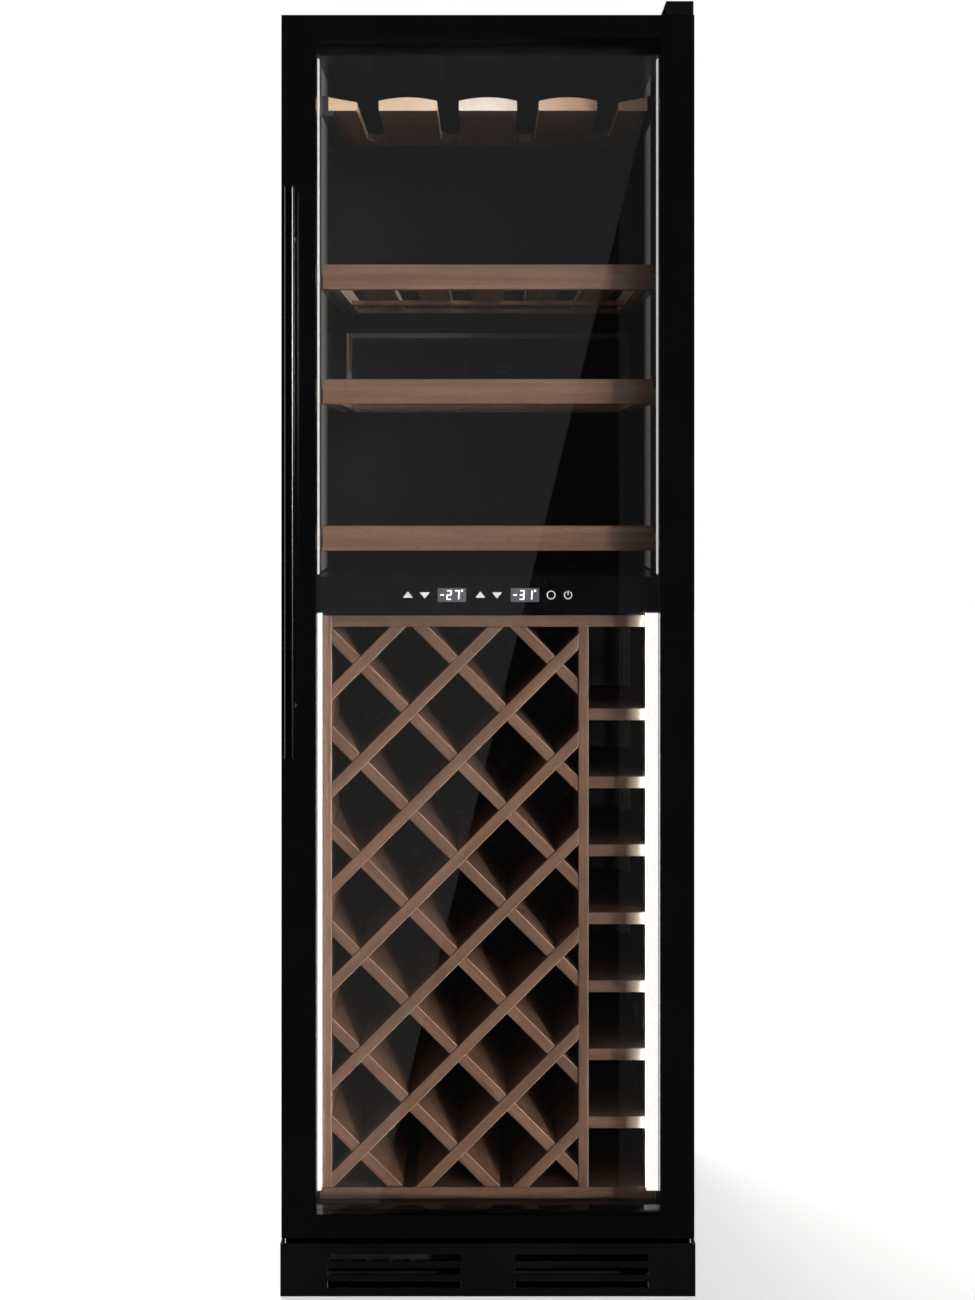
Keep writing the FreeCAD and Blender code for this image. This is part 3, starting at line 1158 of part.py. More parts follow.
def drip_tray():
    """Open tray over the compressor, where the drain water evaporates."""
    y = compressor_y()
    top_of_shell = compressor_base() + COMPRESSOR_FOOT + COMPRESSOR_HEIGHT
    low = top_of_shell + TRAY_LIFT
    half = COMPRESSOR_RADIUS + TRAY_LAP
    left = COMPRESSOR_X - half
    right = COMPRESSOR_X + half
    spout_left = DRAIN_X - DRAIN_RADIUS - TRAY_LAP
    spout_right = DRAIN_X + DRAIN_RADIUS + TRAY_LAP
    spout_back = drain_y() + DRAIN_RADIUS + TRAY_LAP
    high = low + TRAY_HEIGHT
    outer = box(left, right, y - half, y + half, low, high)
    spout = box(spout_left, spout_right, y, spout_back, low, high)
    inner = box(left + TRAY_WALL, right - TRAY_WALL, y - half + TRAY_WALL, y + half - TRAY_WALL,
                low + TRAY_WALL, high + CUT)
    spout_inner = box(spout_left + TRAY_WALL, spout_right - TRAY_WALL, y, spout_back - TRAY_WALL,
                      low + TRAY_WALL, high + CUT)
    legs = []
    for side in (-1, 1):
        x = COMPRESSOR_X + side * COMPRESSOR_RADIUS / 2
        legs.append(rod(TRAY_LEG, Vector(x, y, top_of_shell), Vector(x, y, low)))
    save("drip_tray", joined(outer.fuse(spout).cut([inner, spout_inner]), *legs))


def drain_tube():
    """Drain from both zones, down inside the back insulation to the tray."""
    y = drain_y()
    low = compressor_base() + COMPRESSOR_FOOT + COMPRESSOR_HEIGHT + TRAY_LIFT + TRAY_WALL + TRAY_LIFT
    upright_start = Vector(DRAIN_X, y, low)
    upright_end = Vector(DRAIN_X, y, drain_top())
    bore = DRAIN_RADIUS - DRAIN_WALL
    outer = [rod(DRAIN_RADIUS, upright_start, upright_end)]
    inner = [rod(bore, Vector(DRAIN_X, y, low - CUT), Vector(DRAIN_X, y, drain_top() - DRAIN_WALL))]
    for floor in (UPPER_FLOOR, STEP_TOP):
        z = floor + DRAIN_RISE
        outer.append(rod(DRAIN_RADIUS, Vector(DRAIN_X, LINER_BACK, z), Vector(DRAIN_X, y, z)))
        inner.append(rod(bore, Vector(DRAIN_X, LINER_BACK - CUT, z), Vector(DRAIN_X, y, z)))
    save("drain_tube", joined(*outer).cut(inner))


def condenser():
    """Flat tube coil under the floor, where the incoming air passes it."""
    front = FLANGE + CONDENSER_FRONT_GAP
    back = front + CONDENSER_LENGTH
    low = PAN_TOP
    pieces = []
    for y in (front, back - CONDENSER_PLATE):
        pieces.append(box(CONDENSER_LEFT, CONDENSER_RIGHT, y, y + CONDENSER_PLATE, low, low + CONDENSER_HEIGHT))
    for row in range(CONDENSER_ROWS):
        pieces.append(serpentine(front, back, low + (row + 1 / 2) * CONDENSER_HEIGHT / CONDENSER_ROWS))
    save("condenser_coil", joined(*pieces))


def serpentine(front, back, z):
    """One row of the condenser: a tube that runs back and forth with half-round turns."""
    pitch = CONDENSER_WIDTH / CONDENSER_PASSES
    edges = []
    for number in range(CONDENSER_PASSES):
        x = CONDENSER_LEFT + (number + 1 / 2) * pitch
        start, end, way = (front, back, 1) if number % 2 else (back, front, -1)
        edges.append(Part.LineSegment(Vector(x, start, z), Vector(x, end, z)).toShape())
        if number < CONDENSER_PASSES - 1:
            crown = Vector(x + pitch / 2, end + way * pitch / 2, z)
            edges.append(Part.Arc(Vector(x, end, z), crown, Vector(x + pitch, end, z)).toShape())
    first = Vector(CONDENSER_LEFT + pitch / 2, back, z)
    section = Part.Wire([Part.makeCircle(CONDENSER_TUBE_RADIUS, first, Vector(0, 1, 0))])
    return Part.Wire(edges).makePipeShell([section], True, False)


def cold_pipe_routes():
    """Corner points of the two cold pipes, from the compressor up to each evaporator."""
    y_back = (drain_y() + REAR) / 2 - PIPE_RADIUS
    side = compressor_base() + COMPRESSOR_FOOT + COMPRESSOR_HEIGHT / 4
    evaporator_back = LINER_BACK - EVAPORATOR_BRACKET / 2
    routes = []
    for side_step, low in ((-PIPE_BEND, UPPER_EVAPORATOR_Z), (PIPE_BEND, LOWER_EVAPORATOR_Z)):
        x = COMPRESSOR_X + side_step
        height = low + EVAPORATOR_HEIGHT / 2
        routes.append([Vector(x, compressor_y() + COMPRESSOR_RADIUS * 2 / 3, side), Vector(x, y_back, side),
                       Vector(x, y_back, height), Vector(x, evaporator_back, height)])
    return routes


def refrigerant_pipes():
    """Cold pipes to both zones, and the drier with its necks beside the condenser."""
    pipes = [bent_rod(route, PIPE_RADIUS).cut(bent_rod(route, PIPE_RADIUS - PIPE_WALL))
             for route in cold_pipe_routes()]
    x = CONDENSER_LEFT + DRIER_RADIUS
    start = FLANGE + CONDENSER_FRONT_GAP + CONDENSER_LENGTH + DRIER_NECK * 2
    z = PAN_TOP + DRIER_RADIUS
    body = rod(DRIER_RADIUS, Vector(x, start, z), Vector(x, start + DRIER_LENGTH, z))
    neck = rod(CONDENSER_TUBE_RADIUS, Vector(x, start - DRIER_NECK, z),
               Vector(x, start + DRIER_LENGTH + DRIER_NECK, z))
    save("refrigerant_pipes", *pipes, joined(body, neck))


def main_control_box():
    """Closed box with the main circuit board, on the machine space's roof sheet."""
    high = MACHINE_TOP
    low = high - MAIN_BOX_HEIGHT
    left = MAIN_BOX_LEFT
    right = left + MAIN_BOX_WIDTH
    front = MACHINE_FRONT + SHEET
    back = front + MAIN_BOX_DEPTH
    outer = box(left, right, front, back, low, high)
    inner = box(left + MAIN_BOX_WALL, right - MAIN_BOX_WALL, front + MAIN_BOX_WALL, back - MAIN_BOX_WALL,
                low + MAIN_BOX_WALL, high - MAIN_BOX_WALL)
    save("main_control_box", outer.cut(inner))


def inlet_place():
    """Middle height of the power inlet in the rear cover."""
    return (FOOT_GAP + MACHINE_TOP) / 2


def power_inlet():
    """Panel socket for a removable mains lead, with its three flat pins."""
    z = inlet_place()
    half = INLET_WIDTH / 2
    high = INLET_HEIGHT / 2
    cover_front = REAR - REAR_COVER_SHEET
    plate = box(INLET_X - half - INLET_FLANGE, INLET_X + half + INLET_FLANGE, cover_front - INLET_PLATE,
                cover_front, z - high - INLET_FLANGE, z + high + INLET_FLANGE)
    body = box(INLET_X - half, INLET_X + half, REAR - INLET_DEPTH, REAR, z - high, z + high)
    recess = box(INLET_X - half + INLET_WALL, INLET_X + half - INLET_WALL, REAR - INLET_DEPTH + INLET_WALL,
                 REAR + CUT, z - high + INLET_WALL, z + high - INLET_WALL)
    blades = []
    for dx, dz in ((-INLET_WIDTH / 4, 0), (0, INLET_HEIGHT / 6), (INLET_WIDTH / 4, 0)):
        x = INLET_X + dx
        blades.append(box(x - INLET_BLADE / 2, x + INLET_BLADE / 2, REAR - INLET_DEPTH, REAR - INLET_DEPTH / 2,
                          z + dz - INLET_BLADE * 2, z + dz + INLET_BLADE * 2))
    save("power_inlet", joined(plate, body).cut(recess).fuse(blades).removeSplitter())


def machine_cover():
    """Slotted steel cover over the back of the machine space."""
    back = REAR
    front = REAR - REAR_COVER_SHEET
    half = BODY_HALF
    cover = box(-half, half, front, back, FOOT_GAP, MACHINE_TOP)
    foot = box(-half + PAN_SHEET, half - PAN_SHEET, front - REAR_COVER_LAP, front,
               PAN_TOP, PAN_TOP + REAR_COVER_SHEET)
    z_inlet = inlet_place()
    window = box(INLET_X - INLET_WIDTH / 2, INLET_X + INLET_WIDTH / 2, front - CUT, back + CUT,
                 z_inlet - INLET_HEIGHT / 2, z_inlet + INLET_HEIGHT / 2)
    cuts = [window]
    slots_left = INLET_X + INLET_WIDTH / 2 + REAR_COVER_SLOT_GAP
    length = (half - REAR_COVER_SLOT_SIDE - slots_left - REAR_COVER_BRIDGE) / 2
    for row in range(REAR_COVER_SLOT_ROWS):
        z = FOOT_GAP + PAN_SIDE + row * REAR_COVER_SLOT_PITCH
        for left in (slots_left, slots_left + length + REAR_COVER_BRIDGE):
            cuts.append(box(left, left + length, front - CUT, back + CUT, z, z + REAR_COVER_SLOT))
    save("machine_cover", joined(cover, foot).cut(cuts))


def temperature_sensors():
    """One probe in each zone, clipped to the front of its duct panel."""
    probes = []
    x = LINER_HALF - SENSOR_SIDE_GAP
    for floor in (UPPER_FLOOR, STEP_TOP):
        z = floor + SENSOR_RISE
        y = DUCT_FRONT - SENSOR_RADIUS
        probe = rod(SENSOR_RADIUS, Vector(x, y, z), Vector(x, y, z + SENSOR_LENGTH))
        clip_low = z + (SENSOR_LENGTH - SENSOR_CLIP) / 2
        clip = box(x - SENSOR_RADIUS, x + SENSOR_RADIUS, y, DUCT_FRONT, clip_low, clip_low + SENSOR_CLIP)
        probes.append(joined(probe, clip))
    save("temperature_sensors", *probes)


def main():
    os.makedirs("parts", exist_ok=True)
    outer_panels()
    rear_panel()
    inner_liner()
    insulation_foam()
    control_panel()
    base_pan()
    levelling_feet()
    kick_plate()
    upper_hinge()
    lower_hinge()
    hinge_screws()
    door_bushes()
    handle()
    door_glass()
    door_frame()
    door_gasket()
    lights()
    shelves()
    bottle_rest()
    glass_rack()
    rack_frame()
    lattice()
    cubby_shelves()
    duct_panel("upper_duct_panel", UPPER_FLOOR, UPPER_CEILING, UPPER_FAN_Z)
    duct_panel("lower_duct_panel", STEP_TOP, LOWER_CEILING, LOWER_FAN_Z)
    save("evaporators", evaporator(UPPER_EVAPORATOR_Z), evaporator(LOWER_EVAPORATOR_Z))
    evaporator_fans()
    condenser_fan()
    compressor()
    drip_tray()
    drain_tube()
    condenser()
    refrigerant_pipes()
    main_control_box()
    power_inlet()
    machine_cover()
    temperature_sensors()


main()
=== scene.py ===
# The built-in wine cooler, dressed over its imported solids: each part below is
# shaped and finished in the order in which the cabinet is put together.
import bpy
import bmesh
import json
from math import atan2, degrees, radians
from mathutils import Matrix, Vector

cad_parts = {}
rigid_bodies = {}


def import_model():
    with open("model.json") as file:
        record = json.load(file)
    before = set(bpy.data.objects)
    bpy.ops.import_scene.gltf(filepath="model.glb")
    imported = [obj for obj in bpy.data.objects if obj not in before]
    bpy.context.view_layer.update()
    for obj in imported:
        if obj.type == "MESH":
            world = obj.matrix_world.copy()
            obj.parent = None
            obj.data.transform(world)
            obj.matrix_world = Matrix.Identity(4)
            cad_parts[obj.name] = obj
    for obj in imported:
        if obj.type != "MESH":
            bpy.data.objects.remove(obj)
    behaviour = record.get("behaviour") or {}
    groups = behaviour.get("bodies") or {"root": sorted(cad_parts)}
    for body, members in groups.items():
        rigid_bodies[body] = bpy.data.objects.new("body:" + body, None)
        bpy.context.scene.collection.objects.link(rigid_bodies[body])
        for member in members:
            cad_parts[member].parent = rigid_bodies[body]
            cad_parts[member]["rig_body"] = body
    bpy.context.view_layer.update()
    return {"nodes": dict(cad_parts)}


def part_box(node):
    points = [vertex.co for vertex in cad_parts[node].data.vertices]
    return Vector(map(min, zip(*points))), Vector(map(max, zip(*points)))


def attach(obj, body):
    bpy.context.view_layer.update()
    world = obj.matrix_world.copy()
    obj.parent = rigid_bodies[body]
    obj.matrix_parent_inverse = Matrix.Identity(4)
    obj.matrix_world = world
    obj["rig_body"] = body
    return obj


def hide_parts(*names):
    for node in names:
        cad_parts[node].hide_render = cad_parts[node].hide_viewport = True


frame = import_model()
solids = frame["nodes"]
scene = bpy.context.scene
scene.view_settings.view_transform = "Standard"


# Camera
# Level, on the middle line of the door, 2.55 m in front of its glass and at about
# chest height, so that the upper shelves are seen from a little below.
EYE_HEIGHT = 1.186
bpy.ops.object.camera_add(location=(0, -2.8595, EYE_HEIGHT), rotation=(radians(90), 0, 0))
camera = bpy.context.object
camera.data.lens = 49.3
camera.data.sensor_width = 36
camera.data.shift_x = -0.0003
camera.data.shift_y = -0.1385
scene.camera = camera


# Studio light
# A fairly hard lamp low at the front right, which throws the door's edge on the
# wood, a very faint one at the front left and a wide soft one above and behind.
def studio_lamp(name, from_point, energy, width):
    """A lamp that shines from a point's direction, spread over a width in degrees."""
    bpy.ops.object.light_add(type="SUN", location=from_point)
    lamp = bpy.context.object
    lamp.name = name
    lamp.rotation_euler = (-Vector(from_point)).to_track_quat("-Z", "Y").to_euler()
    lamp.data.energy = energy
    lamp.data.angle = radians(width)


studio_lamp("key_lamp", (3.0, -4.0, 0.4), energy=3.15, width=7.5)
studio_lamp("fill_lamp", (-4.2, -2.6, 1.6), energy=0.08, width=20)
studio_lamp("back_lamp", (-1.6, 3.2, 3.6), energy=1.5, width=35)


# Studio surround and floor
# White all round where it is looked at, dim where it lights the object, and dark
# in front, so that the black glass of the door has nothing bright to mirror.
def colour(code):
    """The linear colour of an sRGB hex code."""
    parts = [int(code[i:i + 2], 16) / 255 for i in (1, 3, 5)]
    return [c / 12.92 if c <= 0.04045 else ((c + 0.055) / 1.055) ** 2.4 for c in parts] + [1.0]


def join(tree, node, links):
    """Feeds a node's sockets, each from the output given or from another node's first output."""
    for socket, source in links.items():
        feed = source.outputs[0] if isinstance(source, bpy.types.Node) else source
        tree.links.new(feed, node.inputs[socket])


def add(tree, kind, values=None, links=None, tones=(), **settings):
    """Adds a node to a shader: settings on the node, values and links on its sockets, and hex
    tones along its ramp. Math has its two terms at 0 and 1. Mix has its share at 0 and what it
    mixes at 2 and 3, or for colours at 6 and 7, with their result at output 2."""
    made = tree.nodes.new(kind)
    for name, value in settings.items():
        setattr(made, name, value)
    for socket, value in (values or {}).items():
        made.inputs[socket].default_value = value
    join(tree, made, links or {})
    for at, tone in tones[1:-1]:
        made.color_ramp.elements.new(at)
    for place, (at, tone) in enumerate(tones):
        made.color_ramp.elements[place].position = at
        made.color_ramp.elements[place].color = colour(tone)
    return made


def blank(store, name):
    """A new material or world whose shader is still empty, and that shader."""
    made = store.new(name)
    made.use_nodes = True
    made.node_tree.nodes.clear()
    return made, made.node_tree


surround, tree = blank(bpy.data.worlds, "studio_surround")
scene.world = surround
ray = add(tree, "ShaderNodeLightPath").outputs
direction = add(tree, "ShaderNodeTexCoord").outputs["Generated"]
depth = add(tree, "ShaderNodeSeparateXYZ", links={0: direction}).outputs["Y"]
front_to_back = {"From Min": -0.16, "From Max": 0.15, "To Min": 0.006, "To Max": 1.0}
mirrored = add(tree, "ShaderNodeMapRange", front_to_back, {"Value": depth})
sharp_rays = {0: ray["Is Glossy Ray"], 1: ray["Is Transmission Ray"]}
sharp = add(tree, "ShaderNodeMath", None, sharp_rays, operation="MAXIMUM")
share = add(tree, "ShaderNodeMapRange", {"To Min": 0.3, "To Max": 1.0}, {"Value": sharp})
lit = add(tree, "ShaderNodeMath", None, {0: mirrored, 1: share}, operation="MULTIPLY")
seen = add(tree, "ShaderNodeMix", {3: 1.0}, {0: ray["Is Camera Ray"], 2: lit})
back = add(tree, "ShaderNodeBackground", {"Color": colour("#ffffff")}, {"Strength": seen})
add(tree, "ShaderNodeOutputWorld", links={"Surface": back})

# The floor is painted pale and looks lit, but for a painted shadow: a dark rectangle
# where the base pan stands. These are half its width and depth, and where its middle is.
SHADOW_HALF_WIDTH = 0.285
SHADOW_HALF_DEPTH = 0.305
SHADOW_MIDDLE = (0, 0.015, 0)
FLOOR_GLOW = 0.6
bpy.ops.mesh.primitive_plane_add(size=24, location=(0, 0, 0))
floor = bpy.context.object
floor.name = "studio_floor"
floor.visible_glossy = False
floor.visible_transmission = False
pale_floor, tree = blank(bpy.data.materials, "pale_painted_floor")
ray = add(tree, "ShaderNodeLightPath").outputs
place = add(tree, "ShaderNodeTexCoord").outputs["Object"]
offset = add(tree, "ShaderNodeVectorMath", {1: SHADOW_MIDDLE}, {0: place}, operation="SUBTRACT")
spread = add(tree, "ShaderNodeVectorMath", None, {0: offset}, operation="ABSOLUTE")
apart = add(tree, "ShaderNodeSeparateXYZ", links={0: spread}).outputs
beside = add(tree, "ShaderNodeMath", {1: SHADOW_HALF_WIDTH}, {0: apart["X"]}, operation="GREATER_THAN")
ahead = add(tree, "ShaderNodeMath", {1: SHADOW_HALF_DEPTH}, {0: apart["Y"]}, operation="GREATER_THAN")
outside_painted_shadow = add(tree, "ShaderNodeMath", None, {0: beside, 1: ahead}, operation="MAXIMUM")
strength = add(tree, "ShaderNodeMath", {1: FLOOR_GLOW}, {0: outside_painted_shadow}, operation="MULTIPLY")
# Under the base pan the floor is painted near black, a painted shadow, and does not glow.
shadow_and_floor_paints = {6: colour("#0c0c0c"), 7: colour("#f2f1ef")}
tint = add(tree, "ShaderNodeMix", shadow_and_floor_paints, {0: outside_painted_shadow}, data_type="RGBA").outputs[2]
paint = add(tree, "ShaderNodeBsdfDiffuse", links={"Color": tint})
glow = add(tree, "ShaderNodeEmission", {"Color": colour("#ffffff")}, {"Strength": strength})
both = add(tree, "ShaderNodeAddShader", links={0: paint, 1: glow})
surface = add(tree, "ShaderNodeMixShader", links={0: ray["Is Camera Ray"], 1: paint, 2: both})
add(tree, "ShaderNodeOutputMaterial", links={"Surface": surface})
floor.data.materials.append(pale_floor)

# Two large dim cards stand behind the camera, the nearer with a slanted right
# edge. Only the panes behind the front glass mirror them, as pale veils.
PANE_TO_CARD = 3.313
EYE_TO_PANE = 2.5725
WIDENING = 1 + PANE_TO_CARD / EYE_TO_PANE


def studio_card(name, corners, y, low, high):
    """A card that glows faintly towards the glass, from a low to a high level up its height.
    Its corners are given where the camera sees them in the inner pane."""
    bpy.ops.mesh.primitive_plane_add(size=1, location=(0, y, EYE_HEIGHT), rotation=(radians(90), 0, 0))
    card = bpy.context.object
    card.name = name
    bpy.ops.object.transform_apply(location=True, rotation=True, scale=True)
    for corner, (x, z) in zip(sorted(card.data.vertices, key=lambda v: (v.co.z, v.co.x)), corners):
        corner.co.x = x * WIDENING
        corner.co.z = EYE_HEIGHT + (z - EYE_HEIGHT) * WIDENING
    card.visible_camera = False
    card.visible_diffuse = False
    card.visible_glossy = False
    card.visible_shadow = False
    paper, tree = blank(bpy.data.materials, f"{name}_grey")
    place = add(tree, "ShaderNodeTexCoord").outputs["Object"]
    height = add(tree, "ShaderNodeSeparateXYZ", links={0: place}).outputs["Z"]
    upwards = {"From Min": -1.0, "From Max": 2.8, "To Min": low, "To Max": high}
    level = add(tree, "ShaderNodeMapRange", upwards, {"Value": height})
    glow = add(tree, "ShaderNodeEmission", {"Color": colour("#fffdfb")}, {"Strength": level})
    add(tree, "ShaderNodeOutputMaterial", links={"Surface": glow})
    card.data.materials.append(paper)


BOTTOM = 0.128
TOP = 1.784
slanted = ((-1.05, BOTTOM), (-0.158, BOTTOM), (-1.05, TOP), (0.2466, TOP))
upright = ((0.19, BOTTOM), (0.9, BOTTOM), (0.19, TOP), (0.9, TOP))
studio_card("glare_card", slanted, y=-3.6, low=0.09, high=0.085)
studio_card("side_card", upright, y=-3.62, low=0.035, high=0.035)


# Base pan, rear panel and steel fittings
# Pressed and folded steel, hot-dip galvanised: the zinc has set in dull crystals
# a few millimetres across. The base pan's zinc is passivated to a cloudy black.
def new_finish(name, values):
    """A material whose main shader is joined to its output: itself, its tree, that shader and
    the place on the piece."""
    made, tree = blank(bpy.data.materials, name)
    body = add(tree, "ShaderNodeBsdfPrincipled", values)
    add(tree, "ShaderNodeOutputMaterial", links={"Surface": body})
    return made, tree, body, add(tree, "ShaderNodeTexCoord").outputs["Object"]


def clouded(tree, body, cloud, tones, rough):
    """Lets a soft pattern vary a finish, both its tone and how rough it is."""
    tint = add(tree, "ShaderNodeValToRGB", None, {0: cloud}, tones)
    drawn = add(tree, "ShaderNodeMapRange", {"To Min": rough[0], "To Max": rough[1]}, {"Value": cloud})
    join(tree, body, {"Base Color": tint, "Roughness": drawn})


def pitch(mm):
    """The scale of a pattern that repeats about every so many millimetres."""
    return 1000 / mm


def dress(finish, *nodes):
    """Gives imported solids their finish."""
    for name in nodes:
        for held in solids[name].material_slots:
            held.material = finish


galvanised_steel, tree, body, place = new_finish("galvanised_steel", {"Metallic": 1.0})
spangle = {"Scale": pitch(7.14), "Randomness": 0.9}
crystals = add(tree, "ShaderNodeTexVoronoi", spangle, {"Vector": place}).outputs["Color"]
shade = add(tree, "ShaderNodeSeparateColor", links={0: crystals})
clouded(tree, body, shade, ((0, "#999da1"), (1, "#b2b6b9")), rough=(0.34, 0.52))
marks = add(tree, "ShaderNodeTexNoise", {"Scale": pitch(1.11), "Detail": 2.0}, {"Vector": place})
relief = add(tree, "ShaderNodeBump", {"Strength": 0.25, "Distance": 0.0001}, {"Height": marks})
join(tree, body, {"Normal": relief})
dress(galvanised_steel, "rear_panel", "machine_cover", "hinge_screws", "runner_channels", "handle_posts")

black_zinc, tree, body, place = new_finish("black_passivated_zinc", {"Metallic": 0.7})
bath = add(tree, "ShaderNodeTexNoise", {"Scale": pitch(62.5), "Detail": 5.0}, {"Vector": place})
clouded(tree, body, bath, ((0.3, "#0f0f10"), (0.75, "#1b1b1c")), rough=(0.38, 0.55))
dress(black_zinc, "base_pan")


# Levelling feet and other nylon parts
# Four feet of black nylon, injection moulded, that screw into bosses of the
# base pan. The moulded skin is faintly pebbled and rubbed paler in patches.
moulded_nylon, tree, body, place = new_finish("moulded_black_nylon", {"Specular IOR Level": 0.45})
wear = add(tree, "ShaderNodeTexNoise", {"Scale": pitch(16.7), "Detail": 5.0}, {"Vector": place})
clouded(tree, body, wear, ((0.35, "#141415"), (0.8, "#222223")), rough=(0.42, 0.62))
pebble = add(tree, "ShaderNodeTexNoise", {"Scale": pitch(0.714), "Detail": 3.0}, {"Vector": place})
relief = add(tree, "ShaderNodeBump", {"Strength": 0.3, "Distance": 0.00015}, {"Height": pebble})
join(tree, body, {"Normal": relief})
dress(moulded_nylon, "foot_front_left", "foot_front_right", "foot_rear_left", "foot_rear_right",
      "condenser_fan_frame", "condenser_fan_rotor", "upper_fan_rotor", "lower_fan_rotor",
      "evaporator_fan_frames", "temperature_sensors", "drip_tray", "power_inlet", "glass_rack_rails")


# Outer panels
# Folded sheet steel in black polyester powder, baked on. The coat is a little
# uneven, like fine orange peel, and its edges are rounded by the thick film.
def reworked(node, name, *finishes, rounding=None, segments=2):
    """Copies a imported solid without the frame's marks, welds it into whole faces, rounds its
    sharp edges and gives it its finishes, the first of them all over."""
    bpy.ops.object.select_all(action="DESELECT")
    solids[node].select_set(True)
    bpy.context.view_layer.objects.active = solids[node]
    bpy.ops.object.duplicate()
    piece = bpy.context.object
    piece.name = name
    for key in list(piece.keys()):
        del piece[key]
    piece.parent = None
    if piece.data.has_custom_normals:
        bpy.ops.mesh.customdata_custom_splitnormals_clear()
    bpy.ops.object.mode_set(mode="EDIT")
    bpy.ops.mesh.select_all(action="SELECT")
    bpy.ops.mesh.remove_doubles(threshold=0.000005)
    bpy.ops.mesh.dissolve_limited(angle_limit=radians(0.5))
    bpy.ops.object.mode_set(mode="OBJECT")
    if rounding:
        edge = piece.modifiers.new("edge", "BEVEL")
        edge.width = rounding
        edge.segments = segments
        edge.limit_method = "ANGLE"
        edge.angle_limit = radians(30)
        bpy.ops.object.modifier_apply(modifier="edge")
    bpy.ops.object.shade_smooth_by_angle(angle=radians(35))
    if rounding:
        even = piece.modifiers.new("even", "WEIGHTED_NORMAL")
        even.keep_sharp = True
        bpy.ops.object.modifier_apply(modifier="even")
    piece.data.materials.clear()
    for finish in finishes:
        piece.data.materials.append(finish)
    return piece


def fitted(piece, node):
    """Puts a finished piece in the place of its solid."""
    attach(piece, solids[node]["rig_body"])
    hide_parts(node)


panel_coat, tree, body, place = new_finish("orange_peel_powder_coat", {"Specular IOR Level": 0.5})
cloud = add(tree, "ShaderNodeTexNoise", {"Scale": pitch(200), "Detail": 5.0}, {"Vector": place})
clouded(tree, body, cloud, ((0.3, "#1c1c1d"), (0.7, "#1f1f20")), rough=(0.38, 0.42))
peel = add(tree, "ShaderNodeTexNoise", {"Scale": pitch(2.63), "Detail": 2.0}, {"Vector": place})
relief = add(tree, "ShaderNodeBump", {"Strength": 0.4, "Distance": 0.00015}, {"Height": peel})
join(tree, body, {"Normal": relief})
panels = reworked("outer_panels", "steel_outer_panels", panel_coat, rounding=0.0004)
fitted(panels, "outer_panels")

# A finer and glossier powder for the folded steel in front: hinges and kick plate.
powder_coat, tree, body, place = new_finish("black_powder_coat", {"Specular IOR Level": 0.35})
cloud = add(tree, "ShaderNodeTexNoise", {"Scale": pitch(111), "Detail": 4.0}, {"Vector": place})
clouded(tree, body, cloud, ((0.3, "#0a0a0b"), (0.7, "#0f0f10")), rough=(0.19, 0.25))
peel = add(tree, "ShaderNodeTexNoise", {"Scale": pitch(1.92), "Detail": 2.0}, {"Vector": place})
relief = add(tree, "ShaderNodeBump", {"Strength": 0.2, "Distance": 0.0001}, {"Height": peel})
join(tree, body, {"Normal": relief})


# Insulation
# Polyurethane foam, blown between the panels and the liner. It is pale yellow, with
# lighter and darker flows where it has risen, and fine cells, here drawn coarse.
foam, tree, body, place = new_finish("polyurethane_foam", {"Roughness": 0.9})
flow = add(tree, "ShaderNodeTexNoise", {"Scale": pitch(71.4), "Detail": 5.0}, {"Vector": place})
tint = add(tree, "ShaderNodeValToRGB", None, {0: flow}, ((0.3, "#d9c48a"), (0.7, "#ecdcae")))
cells = add(tree, "ShaderNodeTexVoronoi", {"Scale": pitch(2.38)}, {"Vector": place}).outputs["Distance"]
relief = add(tree, "ShaderNodeBump", {"Strength": 0.5, "Distance": 0.0008}, {"Height": cells})
join(tree, body, {"Base Color": tint, "Normal": relief})
dress(foam, "insulation_foam")


# Inner liner and air ducts
# High-impact polystyrene, vacuum formed in black. The skin is glossy, with a
# slight drag of the mould. A faint painted glow on its side walls, emitted by the
# liner itself, stands in for the light of the light bars grazing it.
polystyrene, tree, body, place = new_finish("vacuum_formed_polystyrene", {"Specular IOR Level": 0.35})
pulled = {"Scale": pitch(143), "Detail": 5.0, "Roughness": 0.6}
drag = add(tree, "ShaderNodeTexNoise", pulled, {"Vector": place})
clouded(tree, body, drag, ((0.3, "#08080a"), (0.75, "#0d0d0e")), rough=(0.21, 0.28))
skin = add(tree, "ShaderNodeTexNoise", {"Scale": pitch(1.67), "Detail": 3.0}, {"Vector": place})
relief = add(tree, "ShaderNodeBump", {"Strength": 0.2, "Distance": 0.0001}, {"Height": skin})

# The painted glow lies on the side walls of the upper zone, which start this far from the
# middle line. It is brighter on the left, and set further back on the right.
SIDE_WALL = 0.2495
ZONE_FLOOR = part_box("upper_light_bars")[0].z
LEFT_TO_RIGHT = {"From Min": -0.1, "From Max": 0.1}
apart = add(tree, "ShaderNodeSeparateXYZ", links={0: place}).outputs
aside = add(tree, "ShaderNodeMath", None, {0: apart["X"]}, operation="ABSOLUTE")
wall = add(tree, "ShaderNodeMath", {1: SIDE_WALL}, {0: aside}, operation="GREATER_THAN")
above = add(tree, "ShaderNodeMath", {1: ZONE_FLOOR}, {0: apart["Z"]}, operation="GREATER_THAN")
zone = add(tree, "ShaderNodeMath", None, {0: wall, 1: above}, operation="MULTIPLY")
setbacks = LEFT_TO_RIGHT | {"To Min": 0.0, "To Max": 0.07}
setback = add(tree, "ShaderNodeMapRange", setbacks, {"Value": apart["X"]})
depth = add(tree, "ShaderNodeMath", None, {0: apart["Y"], 1: setback}, operation="SUBTRACT")
near = add(tree, "ShaderNodeMapRange", {"From Min": -0.205, "From Max": -0.165}, {"Value": depth})
